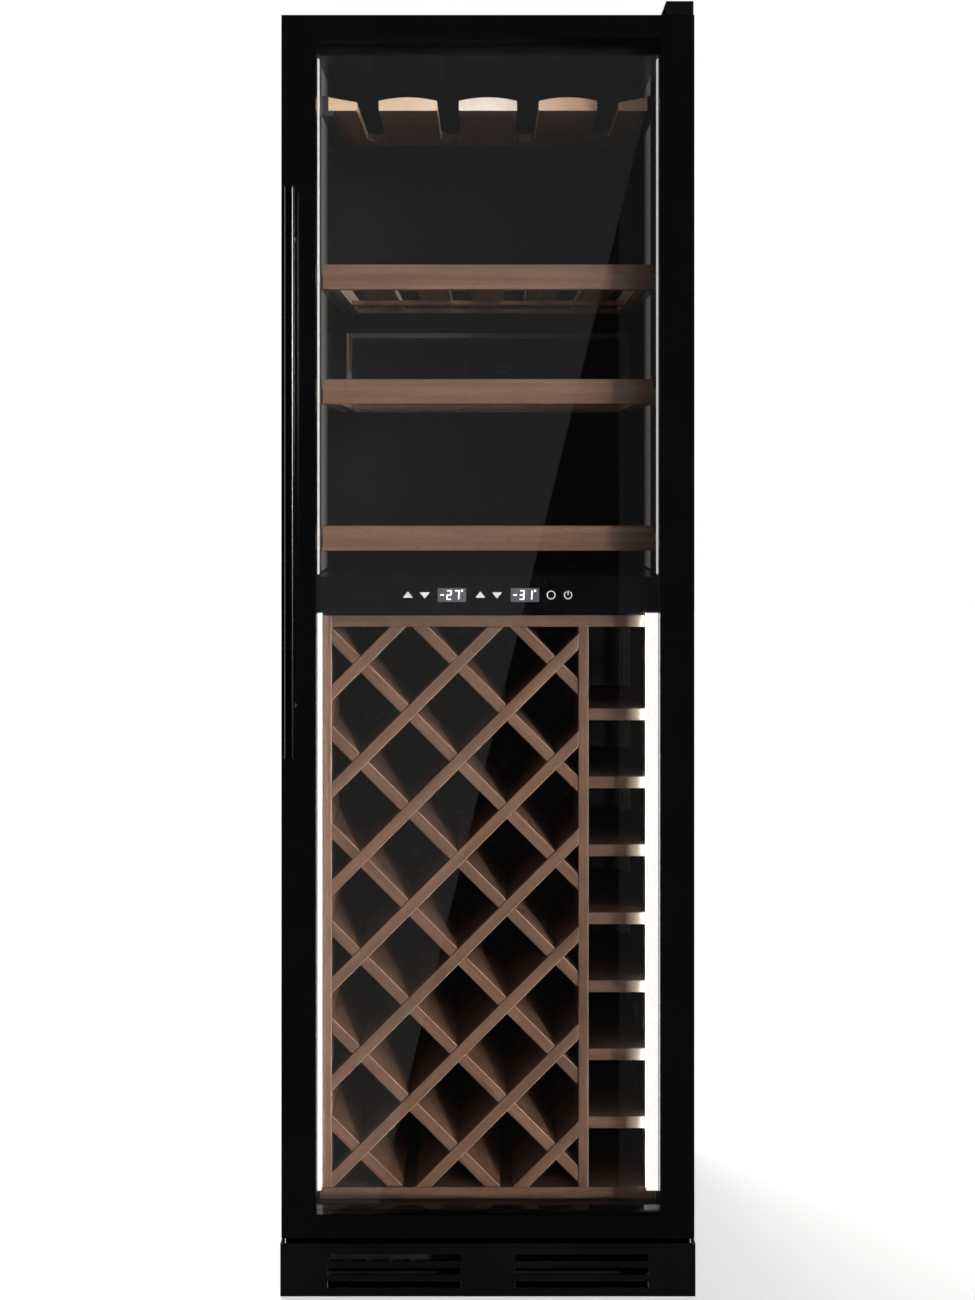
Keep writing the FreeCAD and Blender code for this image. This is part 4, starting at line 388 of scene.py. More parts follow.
peaks = LEFT_TO_RIGHT | {"To Min": 0.17, "To Max": 0.1}
peak = add(tree, "ShaderNodeMapRange", peaks, {"Value": apart["X"]})
backwards = {"From Min": -0.15, "From Max": -0.07, "To Max": 0.0}
fade = add(tree, "ShaderNodeMapRange", backwards, {"Value": depth, "To Min": peak})
painted_spill = add(tree, "ShaderNodeMath", None, {0: near, 1: fade}, operation="MULTIPLY")
# The liner itself emits here: a painted glow, not a lamp.
glow = add(tree, "ShaderNodeMath", None, {0: painted_spill, 1: zone}, operation="MULTIPLY")
join(tree, body, {"Emission Strength": glow, "Normal": relief})
body.inputs["Emission Color"].default_value = colour("#fffaf4")
liner = reworked("inner_liner", "formed_inner_liner", polystyrene)
fitted(liner, "inner_liner")
for level in ("upper", "lower"):
    duct = reworked(f"{level}_duct_panel", f"{level}_air_duct", polystyrene)
    fitted(duct, f"{level}_duct_panel")


# Evaporators
# Two packs of thin aluminium fins pressed on tubes, one behind each duct. The
# bare metal is bright on its faces and greyed by water where it drips.
fins, tree, body, place = new_finish("evaporator_aluminium", {"Metallic": 1.0})
DRIP_SIZE = (0.04, 0.04, 0.2)
drip = add(tree, "ShaderNodeMapping", {"Scale": DRIP_SIZE}, {"Vector": place}, vector_type="TEXTURE")
stain = add(tree, "ShaderNodeTexNoise", {"Scale": 1.0, "Detail": 5.0}, {"Vector": drip})
clouded(tree, body, stain, ((0.35, "#9a9ea1"), (0.7, "#d2d5d7")), rough=(0.5, 0.28))
dress(fins, "evaporators")


# Compressor, its grommets and the condenser coil
# A welded steel shell and a flat coil of bent tube in black stoved enamel, run on
# rather thick. Four blocks of soft rubber keep the shell's hum off the base pan.
glossy_run = {"Coat Weight": 0.4, "Coat Roughness": 0.12}
enamel, tree, body, place = new_finish("stoved_black_enamel", glossy_run)
dust = add(tree, "ShaderNodeTexNoise", {"Scale": pitch(40), "Detail": 6.0}, {"Vector": place})
clouded(tree, body, dust, ((0.45, "#0f0f10"), (0.85, "#232221")), rough=(0.25, 0.5))
run = add(tree, "ShaderNodeTexNoise", {"Scale": pitch(9.09), "Detail": 2.0}, {"Vector": place})
relief = add(tree, "ShaderNodeBump", {"Strength": 0.2, "Distance": 0.0004}, {"Height": run})
join(tree, body, {"Normal": relief})
dress(enamel, "compressor", "condenser_coil")

# The rubber is dull, with a paler bloom in patches and a powdery sheen.
powdery = {"Sheen Weight": 0.15, "Sheen Roughness": 0.4}
rubber, tree, body, place = new_finish("extruded_grey_rubber", powdery)
bloom = add(tree, "ShaderNodeTexNoise", {"Scale": pitch(22.2), "Detail": 5.0}, {"Vector": place})
clouded(tree, body, bloom, ((0.3, "#1c1c1d"), (0.8, "#2a2a2b")), rough=(0.55, 0.75))
dress(rubber, "compressor_grommets")


# Refrigerant pipes
# Hard-drawn copper tube, bent cold and brazed. Handling and the torch have left
# brown and rose patches of oxide along it.
copper, tree, body, place = new_finish("drawn_copper_tube", {"Metallic": 1.0})
oxide = add(tree, "ShaderNodeTexNoise", {"Scale": pitch(33.3), "Detail": 6.0}, {"Vector": place})
clouded(tree, body, oxide, ((0.35, "#7a4630"), (0.65, "#c98a64")), rough=(0.5, 0.25))
dress(copper, "refrigerant_pipes")


# Drain, control box and door bushes
# Small parts moulded in light grey ABS. The plastic is smooth and satin, a
# little cloudy in its grey and soft where light goes in.
milky = {"Subsurface Weight": 0.04, "Subsurface Scale": 0.002}
grey_abs, tree, body, place = new_finish("moulded_grey_abs", milky)
cloud = add(tree, "ShaderNodeTexNoise", {"Scale": pitch(28.6), "Detail": 4.0}, {"Vector": place})
clouded(tree, body, cloud, ((0.3, "#8b8d8f"), (0.7, "#a2a4a5")), rough=(0.35, 0.48))
dress(grey_abs, "drain_tube", "main_control_box", "door_hinge_bushes")


# Light bars and light strips
# Frosted acrylic spreads rows of warm white diodes to an even glow: two slim bars
# with a black lip in the upper zone, and two strips that also shine on the rack.
def frosted(name, strength, lip=None):
    """Frosted acrylic lit from behind. Beyond the lip's distance from the middle line it is
    black and unlit."""
    made, tree, body, place = new_finish(name, {"Roughness": 0.4, "Emission Strength": strength})
    frost = add(tree, "ShaderNodeTexNoise", {"Scale": pitch(11.1), "Detail": 2.0}, {"Vector": place})
    shine = add(tree, "ShaderNodeValToRGB", None, {0: frost}, ((0.3, "#fffaf4"), (0.7, "#ffffff")))
    if lip:
        across = add(tree, "ShaderNodeSeparateXYZ", links={0: place}).outputs["X"]
        side = add(tree, "ShaderNodeMath", None, {0: across}, operation="ABSOLUTE")
        inside = add(tree, "ShaderNodeMath", {1: lip}, {0: side}, operation="LESS_THAN")
        lipped = {6: colour("#0c0c0d"), 7: colour("#83817e")}
        tint = add(tree, "ShaderNodeMix", lipped, {0: inside}, data_type="RGBA").outputs[2]
        glow = add(tree, "ShaderNodeMath", {1: strength}, {0: inside}, operation="MULTIPLY")
        join(tree, body, {"Emission Strength": glow})
    else:
        tint = add(tree, "ShaderNodeValToRGB", None, {0: frost}, ((0, "#7d7b78"), (1, "#858380")))
    join(tree, body, {"Base Color": tint, "Emission Color": shine})
    return made, tree, body, place


bar_front = frosted("frosted_diffuser_with_lip", strength=0.75, lip=0.2486)[0]
bars = reworked("upper_light_bars", "frosted_upper_light_bars", bar_front, rounding=0.0005)
fitted(bars, "upper_light_bars")

# The strips' sides are brightest in a band ahead of the rack, where the diodes
# are, and much brighter on the right. Behind the band they are dark.
NEARLY_SQUARE = 0.9
BAND_END = -0.2245
strip_front = frosted("bright_frosted_diffuser", strength=1.5)[0]
strip_side, tree, body, place = frosted("bright_diffuser_side", strength=1.2)
apart = add(tree, "ShaderNodeSeparateXYZ", links={0: place}).outputs
peaks = LEFT_TO_RIGHT | {"To Min": 4.0, "To Max": 22.0}
peak = add(tree, "ShaderNodeMapRange", peaks, {"Value": apart["X"]})
towards_band = {"From Min": -0.2305, "From Max": -0.2285, "To Min": 1.2}
rise = add(tree, "ShaderNodeMapRange", towards_band, {"Value": apart["Y"], "To Max": peak})
ahead = add(tree, "ShaderNodeMath", {1: BAND_END}, {0: apart["Y"]}, operation="LESS_THAN")
diodes = add(tree, "ShaderNodeMath", None, {0: rise, 1: ahead}, operation="MULTIPLY")
join(tree, body, {"Emission Strength": diodes})
strips = reworked("lower_light_strips", "frosted_lower_light_strips", strip_front, strip_side,
                  rounding=0.0005)
for face in strips.data.polygons:
    if abs(face.normal.x) > NEARLY_SQUARE:
        face.material_index = 1
fitted(strips, "lower_light_strips")


# Sliding shelves and bottle rest
# Steamed beech, planed, stained brown and waxed, on steel slides. The grain runs
# along each board as soft bands, with the short dark flecks that only beech has.
ALONG_X = (0, 0, 0)
ALONG_Y = (0, 0, radians(90))
ALONG_Z = (0, radians(90), 0)

# Sizes along and across the grain: of the bands, and of the flecks, which are drawn
# about twice as large as they are, so that they show.
BAND_SIZE = (0.35, 0.011, 0.011)
FLECK_SIZE = (0.009, 0.0011, 0.0011)

# Where a board's right end turns pale in a painted glow of the light strips.
GLOW_PAINTED_FROM = 0.203
GLOW_PAINTED_TO = 0.226


def beech(name, turn, dark="#543c2d", light="#765744", end=None):
    """Beech with its grain along the board: turn swings the board's length onto X.
    A tone for end fades in over the last centimetres at the right, as a painted glow of the light strips."""
    made, tree, body, place = new_finish(name, {"Specular IOR Level": 0.35})
    sized = {"Rotation": turn, "Scale": BAND_SIZE}
    bands = add(tree, "ShaderNodeMapping", sized, {"Vector": place}, vector_type="TEXTURE")
    soft = {"Scale": 1.0, "Detail": 6.0, "Roughness": 0.62}
    growth = add(tree, "ShaderNodeTexNoise", soft, {"Vector": bands})
    tint = add(tree, "ShaderNodeValToRGB", None, {0: growth}, ((0.28, dark), (0.72, light)))
    sized = {"Rotation": turn, "Scale": FLECK_SIZE}
    flecks = add(tree, "ShaderNodeMapping", sized, {"Vector": place}, vector_type="TEXTURE")
    fleck = add(tree, "ShaderNodeTexNoise", {"Scale": 1.0, "Detail": 2.0}, {"Vector": flecks})
    speck = add(tree, "ShaderNodeValToRGB", None, {0: fleck}, ((0.3, "#b09a8a"), (0.46, "#ffffff")))
    flecked = {"data_type": "RGBA", "blend_type": "MULTIPLY"}
    mixed = add(tree, "ShaderNodeMix", {0: 0.55}, {6: tint, 7: speck}, **flecked).outputs[2]
    if end:
        across = add(tree, "ShaderNodeSeparateXYZ", links={0: place}).outputs["X"]
        last = {"From Min": GLOW_PAINTED_FROM, "From Max": GLOW_PAINTED_TO}
        glow_share = add(tree, "ShaderNodeMapRange", last, {"Value": across})
        # The pale tone at the right end is a painted glow of the light strips.
        glow_tint = add(tree, "ShaderNodeMix", {0: 0.3, 6: colour(end)}, {7: speck}, **flecked).outputs[2]
        ended = {0: glow_share, 6: mixed, 7: glow_tint}
        mixed = add(tree, "ShaderNodeMix", None, ended, data_type="RGBA").outputs[2]
    waxed = add(tree, "ShaderNodeMapRange", {"To Min": 0.54, "To Max": 0.42}, {"Value": growth})
    relief = add(tree, "ShaderNodeBump", {"Strength": 0.25, "Distance": 0.0001}, {"Height": fleck})
    join(tree, body, {"Base Color": mixed, "Roughness": waxed, "Normal": relief})
    return made


# The decks are stained a shade lighter than the fronts, and the slats' sides are
# drawn pale, a painted light on them. The bottle rest is a darker beech.
SQUARE = 0.95
JUST_INSIDE = 0.002
stained_across = beech("stained_beech_across", ALONG_X)
stained_deep = beech("stained_beech_front_to_back", ALONG_Y, dark="#6d513f", light="#8f6d57")
pale_lit_sides = beech("painted_lit_beech_sides", ALONG_Y, dark="#d6b697", light="#f0dcc6")
# A darker beech: on the small shelves and the base board's top it is a painted shade.
darker_beech = beech("darker_beech_finish", ALONG_X, dark="#33251c", light="#483529")
for shelf in ("shelf_1", "shelf_2", "shelf_3"):
    front = reworked(f"{shelf}_front", f"{shelf}_beech_front", stained_across, rounding=0.0012)
    fitted(front, f"{shelf}_front")
    deck = reworked(f"{shelf}_deck", f"{shelf}_beech_deck", stained_deep, pale_lit_sides, rounding=0.0006)
    outer_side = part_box(f"{shelf}_deck")[1].x - JUST_INSIDE
    for face in deck.data.polygons:
        # The slats' inner sides take the pale beech, a painted light.
        if abs(face.normal.x) > SQUARE and abs(face.center.x) < outer_side:
            face.material_index = 1
    fitted(deck, f"{shelf}_deck")
    dress(galvanised_steel, f"{shelf}_slides")
rest = reworked("bottle_rest", "beech_bottle_rest", darker_beech, rounding=0.0008)
fitted(rest, "bottle_rest")


# Stemware rack
# One board of beech, stained and arched on top between four slots. Its front and
# the slots were cut after staining and show pale, with a painted pool of light palest midway.
FIBRE_SIZE = (0.012, 0.0015, 0.0012)
HALF_WIDTH = 0.24
unwaxed = {"Roughness": 0.5, "Specular IOR Level": 0.35}
natural_beech, tree, body, place = new_finish("natural_beech_edge", unwaxed)
grain = add(tree, "ShaderNodeMapping", {"Scale": FIBRE_SIZE}, {"Vector": place}, vector_type="TEXTURE")
fibre = add(tree, "ShaderNodeTexNoise", {"Scale": 1.0, "Detail": 4.0}, {"Vector": grain})
fine = add(tree, "ShaderNodeValToRGB", None, {0: fibre}, ((0.3, "#dfd6cd"), (0.6, "#ffffff")))
across = add(tree, "ShaderNodeSeparateXYZ", links={0: place}).outputs["X"]
# Across the board the tone is a painted pool of light, palest midway.
whole_board = {"From Min": -HALF_WIDTH, "From Max": HALF_WIDTH}
board = add(tree, "ShaderNodeMapRange", whole_board, {"Value": across})
painted_light_pool = ((0, "#deb997"), (0.25, "#e4c7a9"), (0.5, "#fbefe2"), (0.75, "#cda484"), (1, "#dcb492"))
painted_light_tone = add(tree, "ShaderNodeValToRGB", None, {0: board}, painted_light_pool)
fibrous = {"data_type": "RGBA", "blend_type": "MULTIPLY"}
mixed = add(tree, "ShaderNodeMix", {0: 0.7}, {6: painted_light_tone, 7: fine}, **fibrous).outputs[2]
join(tree, body, {"Base Color": mixed})
stemware = reworked("glass_rack", "beech_stemware_rack", stained_across, natural_beech, rounding=0.0008)
SLOTS_WITHIN = 0.21
LOOKS_FORWARD = -0.6
front_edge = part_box("glass_rack")[0].y + JUST_INSIDE
for face in stemware.data.polygons:
    slot_wall = abs(face.normal.x) > SQUARE and abs(face.center.x) < SLOTS_WITHIN
    if slot_wall or (face.normal.y < LOOKS_FORWARD and face.center.y < front_edge):
        face.material_index = 1
fitted(stemware, "glass_rack")


# Bottle rack of the lower zone
# Stained beech again: a frame of uprights and rails, crossed boards halved into
# each other at 45 degrees, and a ladder of small shelves at the right.
# Paler beech for the edges that face the key lamp: a painted highlight.
highlight_beech = beech("painted_highlight_beech_edge", ALONG_Z, dark="#8d6d56", light="#ab8c73")
TURNED_RIGHT = 0.15
TURNED_FORWARD = -0.2
STRAIGHT_FORWARD = -0.98


def highlight_edges(piece):
    """Gives the rounded edges that face front and right, towards the key lamp, a pale painted highlight."""
    piece.data.materials.append(highlight_beech)
    for face in piece.data.polygons:
        if face.normal.x > TURNED_RIGHT and STRAIGHT_FORWARD < face.normal.y < TURNED_FORWARD:
            face.material_index = len(piece.data.materials) - 1


# The top rail and the small shelves turn pale at their right ends, a painted glow of
# the light strips. The base board's top and the broad faces of the small shelves are
# darker, a painted shade. The rail and the base board are this high.
RAIL_HEIGHT = 0.0175
glow_ended_beech = beech("stained_beech_painted_glow_end", ALONG_X, end="#f3e3cf")
stained_upright = beech("stained_beech_upright", ALONG_Z)
woods = (glow_ended_beech, stained_upright, stained_across, darker_beech)
rack = reworked("rack_frame", "beech_rack_frame", *woods, rounding=0.0012)
low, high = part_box("rack_frame")
for face in rack.data.polygons:
    if face.center.z < low.z + RAIL_HEIGHT:
        # The base board's top takes the darker beech, a painted shade.
        face.material_index = 3 if face.normal.z > NEARLY_SQUARE else 2
    elif face.center.z < high.z - RAIL_HEIGHT:
        face.material_index = 1
highlight_edges(rack)
fitted(rack, "rack_frame")
ladder = reworked("cubby_shelves", "beech_cubby_shelves", glow_ended_beech, darker_beech, rounding=0.0012)
# The small shelves' broad faces take the darker beech, a painted shade.
for face in ladder.data.polygons:
    if abs(face.normal.z) > NEARLY_SQUARE:
        face.material_index = 1
fitted(ladder, "cubby_shelves")
for lean, angle in (("rising", -45), ("falling", 45)):
    leaning = beech(f"stained_beech_{lean}", (0, radians(angle), 0))
    boards = reworked(f"lattice_{lean}_boards", f"beech_{lean}_boards", leaning, rounding=0.0012)
    highlight_edges(boards)
    fitted(boards, f"lattice_{lean}_boards")


# Control fascia
# A strip of black acrylic, polished and faintly smeared, with the keys printed on
# its face: two pairs of arrows, a light key and a mains key.
gloss_acrylic, tree, body, place = new_finish("gloss_black_acrylic", {"Specular IOR Level": 0.4})
smear = add(tree, "ShaderNodeTexNoise", {"Scale": pitch(45.5), "Detail": 4.0}, {"Vector": place})
clouded(tree, body, smear, ((0.3, "#050506"), (0.7, "#08080a")), rough=(0.05, 0.12))
fascia = reworked("control_fascia", "acrylic_control_fascia", gloss_acrylic, rounding=0.0004)
fitted(fascia, "control_fascia")

# The circuit board behind it has a glossy green mask over a net of copper lines.
board_green, tree, body, place = new_finish("green_solder_mask", {"Roughness": 0.35, "Coat Weight": 0.5})
copper_lines = {"Scale": pitch(6.25), "Mortar Size": 0.03, "Color1": colour("#1f6b3f"),
                "Color2": colour("#1a5c36"), "Mortar": colour("#3f8f5f")}
tracks = add(tree, "ShaderNodeTexBrick", copper_lines, {"Vector": place})
join(tree, body, {"Base Color": tracks.outputs["Color"]})
dress(board_green, "display_board")


def backlit(name, values, mm, face, glow):
    """A print or window lit from behind, with a fine grain in the two tones of its face and glow."""
    made, tree, body, place = new_finish(name, values)
    grain = add(tree, "ShaderNodeTexNoise", {"Scale": pitch(mm), "Detail": 2.0}, {"Vector": place})
    tint = add(tree, "ShaderNodeValToRGB", None, {0: grain}, tuple(enumerate(face)))
    shine = add(tree, "ShaderNodeValToRGB", None, {0: grain}, tuple(enumerate(glow)))
    join(tree, body, {"Base Color": tint, "Emission Color": shine})
    return made


printed_white = backlit("backlit_white_print", {"Roughness": 0.3, "Emission Strength": 0.55},
                        mm=1.43, face=("#b9b7b6", "#c9c7c6"), glow=("#c4c2c2", "#cfcdcd"))
display_grey = backlit("grey_display_window", {"Roughness": 0.2, "Emission Strength": 0.5},
                       mm=3.85, face=("#3c3c40", "#4a4a4e"), glow=("#5c5c61", "#68686c"))
display_white = backlit("lit_display_segment", {"Roughness": 0.3, "Emission Strength": 1.1},
                        mm=1.11, face=("#eef0f4", "#ffffff"), glow=("#f4f6fa", "#ffffff"))
FASCIA_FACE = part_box("control_fascia")[0].y
KEY_HEIGHT = 1.0042
PRINT_DEPTH = 0.00012
DIGIT_DEPTH = 0.00024


def printed(x, z, finish, half, corners=0, depth=PRINT_DEPTH):
    """A thin printed shape that faces the door: a bar with half its width and height, or with
    corners a disc with its radius."""
    bpy.ops.object.select_all(action="DESELECT")
    at = (x, FASCIA_FACE - depth / 2, z)
    upright = (radians(90), 0, 0)
    if corners:
        bpy.ops.mesh.primitive_cylinder_add(vertices=corners, radius=half, depth=depth,
                                            location=at, rotation=upright)
    else:
        bpy.ops.mesh.primitive_cube_add(size=1, location=at)
        bpy.context.object.scale = (half[0] * 2, depth, half[1] * 2)
    shape = bpy.context.object
    bpy.ops.object.transform_apply(location=True, rotation=True, scale=True)
    shape.data.materials.append(finish)
    return shape


def merged(shapes, name):
    """Joins printed shapes into one piece of the cabinet."""
    bpy.ops.object.select_all(action="DESELECT")
    for shape in shapes:
        shape.select_set(True)
    bpy.context.view_layer.objects.active = shapes[0]
    bpy.ops.object.join()
    shapes[0].name = name
    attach(shapes[0], "cabinet")


def select_broad(piece):
    """Opens a flat piece in edit mode with the faces selected that look to the front and back."""
    bpy.ops.object.mode_set(mode="EDIT")
    bpy.ops.mesh.select_all(action="DESELECT")
    sheet = bmesh.from_edit_mesh(piece.data)
    for face in sheet.faces:
        if abs(face.normal.y) > NEARLY_SQUARE:
            face.select_set(True)


ARROW_RADIUS = 0.0072
ARROW_WIDENED = 1.17
ARROW_FLATTENED = 0.82
ARROW_LOWERED = 0.0009


def arrow(x, points_up):
    """A touch arrow: a thin three-sided prism, widened, flattened and centred on the keys' line."""
    shape = printed(x, KEY_HEIGHT, printed_white, ARROW_RADIUS, corners=3)
    side = 1 if points_up else -1
    for corner in shape.data.vertices:
        rise = (corner.co.z - KEY_HEIGHT) * ARROW_FLATTENED - ARROW_LOWERED
        corner.co.z = KEY_HEIGHT + side * rise
        corner.co.x = x + (corner.co.x - x) * ARROW_WIDENED
    return shape


def ring(x, radius, wall, gap=0):
    """A printed ring, inset from a round disc, open over a gap in degrees at its top."""
    shape = printed(x, KEY_HEIGHT, printed_white, radius, corners=48)
    select_broad(shape)
    bpy.ops.mesh.inset(thickness=wall, use_even_offset=True)
    bpy.ops.mesh.bridge_edge_loops()
    if gap:
        bpy.ops.mesh.select_all(action="DESELECT")
        band = bmesh.from_edit_mesh(shape.data)
        for face in band.faces:
            middle = face.calc_center_median()
            if abs(degrees(atan2(middle.x - x, middle.z - KEY_HEIGHT))) < gap / 2:
                face.select_set(True)
        bpy.ops.mesh.delete(type="FACE")
    bpy.ops.object.mode_set(mode="OBJECT")
    return shape


LIGHT_KEY = 0.0919
MAINS_KEY = 0.1166
MAINS_BAR = (0.0007, 0.003)
MAINS_BAR_RISE = 0.0035
marks = []
for x, points_up in ((-0.1163, True), (-0.0918, False), (-0.0109, True), (0.0133, False)):
    marks.append(arrow(x, points_up))
marks.append(ring(LIGHT_KEY, radius=0.0063, wall=0.0013))
marks.append(ring(MAINS_KEY, radius=0.006, wall=0.0012, gap=60))
marks.append(printed(MAINS_KEY, KEY_HEIGHT + MAINS_BAR_RISE, printed_white, MAINS_BAR))
merged(marks, "printed_touch_keys")

# Two small grey displays between the keys show a minus sign, two slanted figures
# and a degree dot. A figure is made of level and upright bars. These are half the
# sizes of displays and bars, and the places of the signs from a display's middle.
DISPLAY = (0.0207, 0.0101)
MINUS = (0.0028, 0.0009)
MINUS_AT = -0.0143
TENS_AT = -0.0042
UNITS_AT = 0.0074
DOT_AT = 0.0148
DOT_RISE = 0.0062
DOT_RADIUS = 0.0018
LEVEL = (0.0032, 0.0009)
UPRIGHT = (0.001, 0.0033)
STROKE_SIDE = 0.0027
STROKE_RISE = 0.0031
RISE_FOR_LEAN = 14
STROKES = {"top": (0, 2, LEVEL), "middle": (0, 0, LEVEL), "bottom": (0, -2, LEVEL),
           "upper_right": (1, 1, UPRIGHT), "lower_right": (1, -1, UPRIGHT), "lower_left": (-1, -1, UPRIGHT)}
TWO = ("top", "upper_right", "middle", "lower_left", "bottom")
SEVEN = ("top", "upper_right", "lower_right")
THREE = ("top", "upper_right", "middle", "lower_right", "bottom")
ONE = ("upper_right", "lower_right")


def figure(x, strokes):
    """A seven-segment figure, each stroke a flat bar of the display."""
    shapes = []
    for stroke in strokes:
        across, up, half = STROKES[stroke]
        rise = up * STROKE_RISE
        at_x = x + across * STROKE_SIDE + rise / RISE_FOR_LEAN
        shapes.append(printed(at_x, KEY_HEIGHT + rise, display_white, half, depth=DIGIT_DEPTH))
    return shapes


windows = []
digits = []
for x, tens, units in ((-0.0523, TWO, SEVEN), (0.0539, THREE, ONE)):
    windows.append(printed(x, KEY_HEIGHT, display_grey, DISPLAY))
    minus = printed(x + MINUS_AT, KEY_HEIGHT, display_white, MINUS, depth=DIGIT_DEPTH)
    dot_height = KEY_HEIGHT + DOT_RISE
    dot = printed(x + DOT_AT, dot_height, display_white, DOT_RADIUS, corners=12, depth=DIGIT_DEPTH)
    digits += [minus, dot] + figure(x + TENS_AT, tens) + figure(x + UNITS_AT, units)
merged(windows, "display_windows")
merged(digits, "display_figures")


# Hinges
# Folded steel brackets in the finer powder coat, screwed on above and below the
# door, and a smooth black ABS cap that clips over the upper one.
for level in ("upper", "lower"):
    bracket = reworked(f"{level}_hinge_bracket", f"steel_{level}_hinge", powder_coat, rounding=0.0003)
    fitted(bracket, f"{level}_hinge_bracket")
smooth_abs, tree, body, place = new_finish("moulded_black_abs", {"Specular IOR Level": 0.5})
cloud = add(tree, "ShaderNodeTexNoise", {"Scale": pitch(25), "Detail": 3.0}, {"Vector": place})
clouded(tree, body, cloud, ((0.3, "#08080a"), (0.7, "#0c0c0d")), rough=(0.17, 0.24))
grain = add(tree, "ShaderNodeTexNoise", {"Scale": pitch(1.25), "Detail": 2.0}, {"Vector": place})
relief = add(tree, "ShaderNodeBump", {"Strength": 0.15, "Distance": 0.0001}, {"Height": grain})
join(tree, body, {"Normal": relief})
cap = reworked("hinge_cap", "moulded_hinge_cap", smooth_abs, rounding=0.0016, segments=3)
fitted(cap, "hinge_cap")


# Door frame and gasket
# Four mitred lengths of extruded aluminium, anodised black over fine drawing
# lines, with a dark grey magnetic seal pushed into their back.
anodised, tree, body, place = new_finish("black_anodised_aluminium", {"Metallic": 0.9, "Anisotropic": 0.3})

# The lines are drawn several times as wide as they are, so that they show.
PROFILE_LINE = (0.0006, 0.0006, 0.06)
drawn = add(tree, "ShaderNodeMapping", {"Scale": PROFILE_LINE}, {"Vector": place}, vector_type="TEXTURE")
lines = add(tree, "ShaderNodeTexNoise", {"Scale": 1.0, "Detail": 3.0}, {"Vector": drawn})
clouded(tree, body, lines, ((0.3, "#1b1b1c"), (0.7, "#232324")), rough=(0.12, 0.18))
profiles = reworked("door_frame", "anodised_door_frame", anodised, rounding=0.0003)
fitted(profiles, "door_frame")
gasket = reworked("door_gasket", "magnetic_door_gasket", rubber, rounding=0.0012, segments=3)
fitted(gasket, "door_gasket")


# Glazing bead
# A ring of black acrylic, extruded with a polished skin and clipped in behind
# the inner pane to hold it. Its inner faces mirror the rack and the shelves.
BEAD_MIDDLE = (0, -0.2769, 0.9615)
BEAD_SIZE = (0.521, 0.0158, 1.708)
BEAD_WIDTH = 0.011
bead_gloss, tree, body, place = new_finish("extruded_gloss_bead", {"Specular IOR Level": 0.22})
draw = add(tree, "ShaderNodeTexNoise", {"Scale": pitch(55.6), "Detail": 3.0}, {"Vector": place})
clouded(tree, body, draw, ((0.3, "#040405"), (0.7, "#070708")), rough=(0.14, 0.2))
bpy.ops.object.select_all(action="DESELECT")
bpy.ops.mesh.primitive_cube_add(size=1, location=BEAD_MIDDLE)
bead = bpy.context.object
bead.name = "gloss_glazing_bead"
bead.scale = BEAD_SIZE
bpy.ops.object.transform_apply(location=True, rotation=True, scale=True)
select_broad(bead)
bpy.ops.mesh.inset(thickness=BEAD_WIDTH)
bpy.ops.mesh.bridge_edge_loops()
bpy.ops.mesh.select_all(action="SELECT")
bpy.ops.mesh.normals_make_consistent(inside=False)
bpy.ops.object.mode_set(mode="OBJECT")
bead.data.materials.append(bead_gloss)
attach(bead, "door")


# Door glass
# Two panes: a grey tinted one in front, ground along its edge and printed black
# round the window, and a coated one behind that throws heat back.
def pane_glass(name, tint, ior):
    """Clear glass that lets lamplight straight through, so that the shelves stay lit."""
    made, tree = blank(bpy.data.materials, name)
    clear = {"Base Color": colour(tint), "Roughness": 0.0, "IOR": ior, "Transmission Weight": 1.0}
    body = add(tree, "ShaderNodeBsdfPrincipled", clear)
    shadow = add(tree, "ShaderNodeBsdfTransparent", {"Color": colour(tint)})
    ray = add(tree, "ShaderNodeLightPath").outputs["Is Shadow Ray"]
    mixed = add(tree, "ShaderNodeMixShader", links={0: ray, 1: body, 2: shadow})
    add(tree, "ShaderNodeOutputMaterial", links={"Surface": mixed})
    return made


tinted_glass = pane_glass("grey_tinted_glass", "#f2f2f2", ior=1.5)
coated_glass = pane_glass("coated_insulating_glass", "#fafafa", ior=1.9)

# The print is enamel fired onto the glass, deep black and as smooth as the pane.
black_print, tree, body, place = new_finish("black_enamel_print", {"Roughness": 0.02, "IOR": 1.5})
fired = add(tree, "ShaderNodeTexNoise", {"Scale": pitch(83.3), "Detail": 5.0}, {"Vector": place})
tint = add(tree, "ShaderNodeValToRGB", None, {0: fired}, ((0.3, "#090909"), (0.7, "#0b0b0c")))
join(tree, body, {"Base Color": tint})

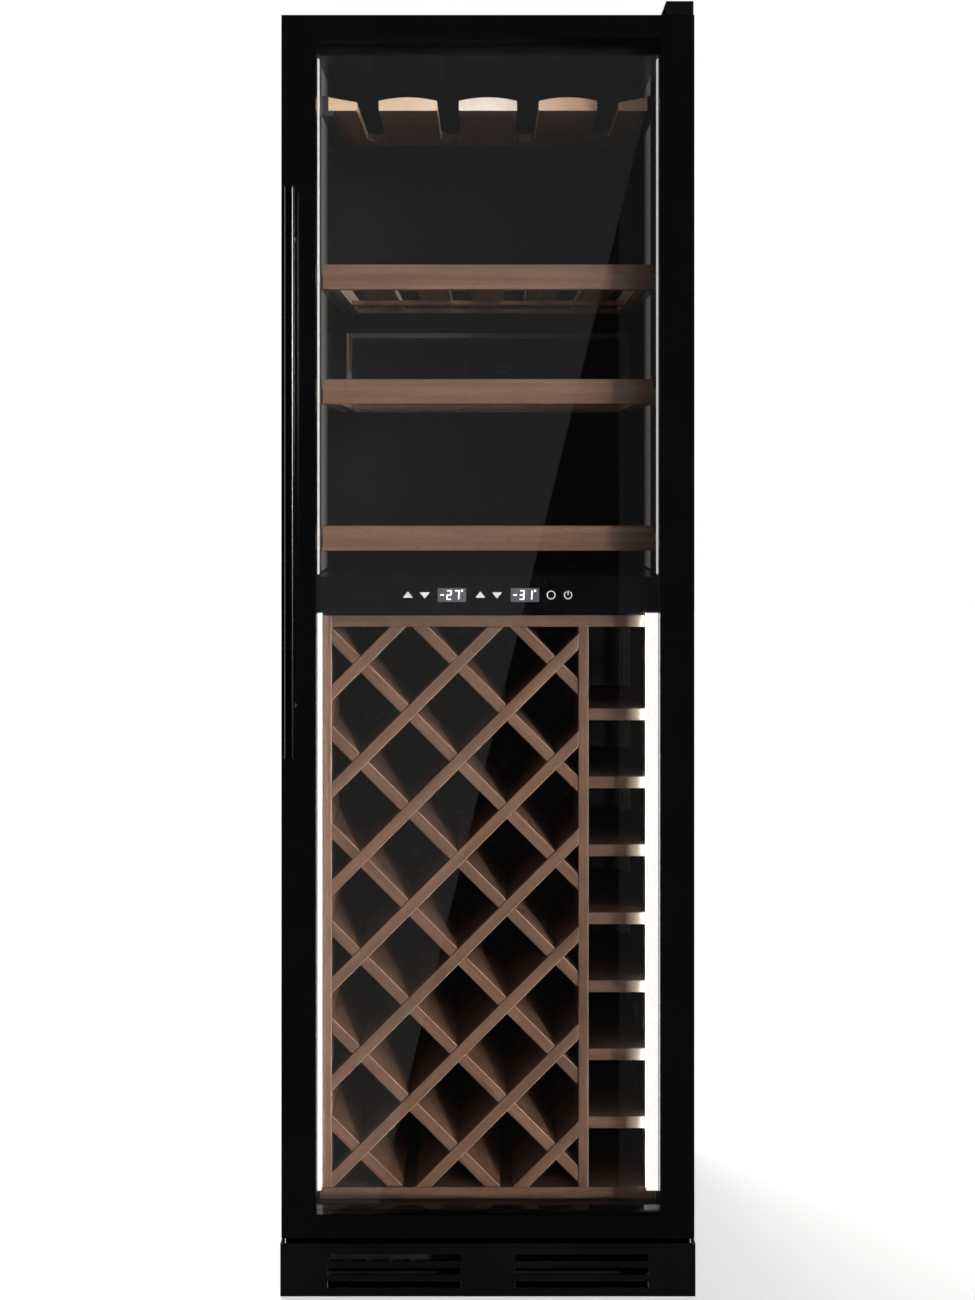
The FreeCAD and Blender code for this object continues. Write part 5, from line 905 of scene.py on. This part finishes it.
WINDOW_SIDE = 0.247
WINDOW_BOTTOM = 0.1185
WINDOW_TOP = 1.8045
low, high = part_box("door_outer_glass")
middle = (low + high) / 2
bpy.ops.object.select_all(action="DESELECT")
bpy.ops.mesh.primitive_cube_add(size=1, location=middle)
pane = bpy.context.object
pane.name = "tinted_front_pane"
pane.scale = high - low
bpy.ops.object.transform_apply(location=True, rotation=True, scale=True)

# Faces inset front and back become the clear window and are moved to its edges.
select_broad(pane)
bpy.ops.mesh.inset(thickness=0.01)
sheet = bmesh.from_edit_mesh(pane.data)
for face in sheet.faces:
    if abs(face.normal.y) > NEARLY_SQUARE and face.select:
        face.material_index = 1
        for corner in face.verts:
            corner.co.x = WINDOW_SIDE if corner.co.x > 0 else -WINDOW_SIDE
            corner.co.z = WINDOW_TOP if corner.co.z > middle.z else WINDOW_BOTTOM
bmesh.update_edit_mesh(pane.data)
bpy.ops.object.mode_set(mode="OBJECT")
ground = pane.modifiers.new("ground_edge", "BEVEL")
ground.width = 0.0008
ground.segments = 2
ground.limit_method = "ANGLE"
bpy.ops.object.modifier_apply(modifier="ground_edge")
pane.data.materials.append(black_print)
pane.data.materials.append(tinted_glass)
fitted(pane, "door_outer_glass")
dress(coated_glass, "door_inner_glass")


# Handle
# A square bar of drawn and anodised aluminium with rounded edges, nearly half as
# long as the door, on two steel posts that pass through the glass into the frame.
satin_bar, tree, body, place = new_finish("satin_anodised_bar", {"Metallic": 1.0})

# The bar's drawing lines are widened like the frame's.
BAR_LINE = (0.0007, 0.0007, 0.09)
drawn = add(tree, "ShaderNodeMapping", {"Scale": BAR_LINE}, {"Vector": place}, vector_type="TEXTURE")
lines = add(tree, "ShaderNodeTexNoise", {"Scale": 1.0, "Detail": 3.0}, {"Vector": drawn})
clouded(tree, body, lines, ((0.3, "#303033"), (0.7, "#3a3a3d")), rough=(0.17, 0.21))
bar = reworked("handle_bar", "satin_handle_bar", satin_bar, rounding=0.0004)
fitted(bar, "handle_bar")


# Kick plate
# Folded steel in the same fine powder coat as the hinges, with three rows of
# air slots, hung by a folded clip below the door.
plate = reworked("kick_plate", "steel_kick_plate", powder_coat, rounding=0.0004)
fitted(plate, "kick_plate")
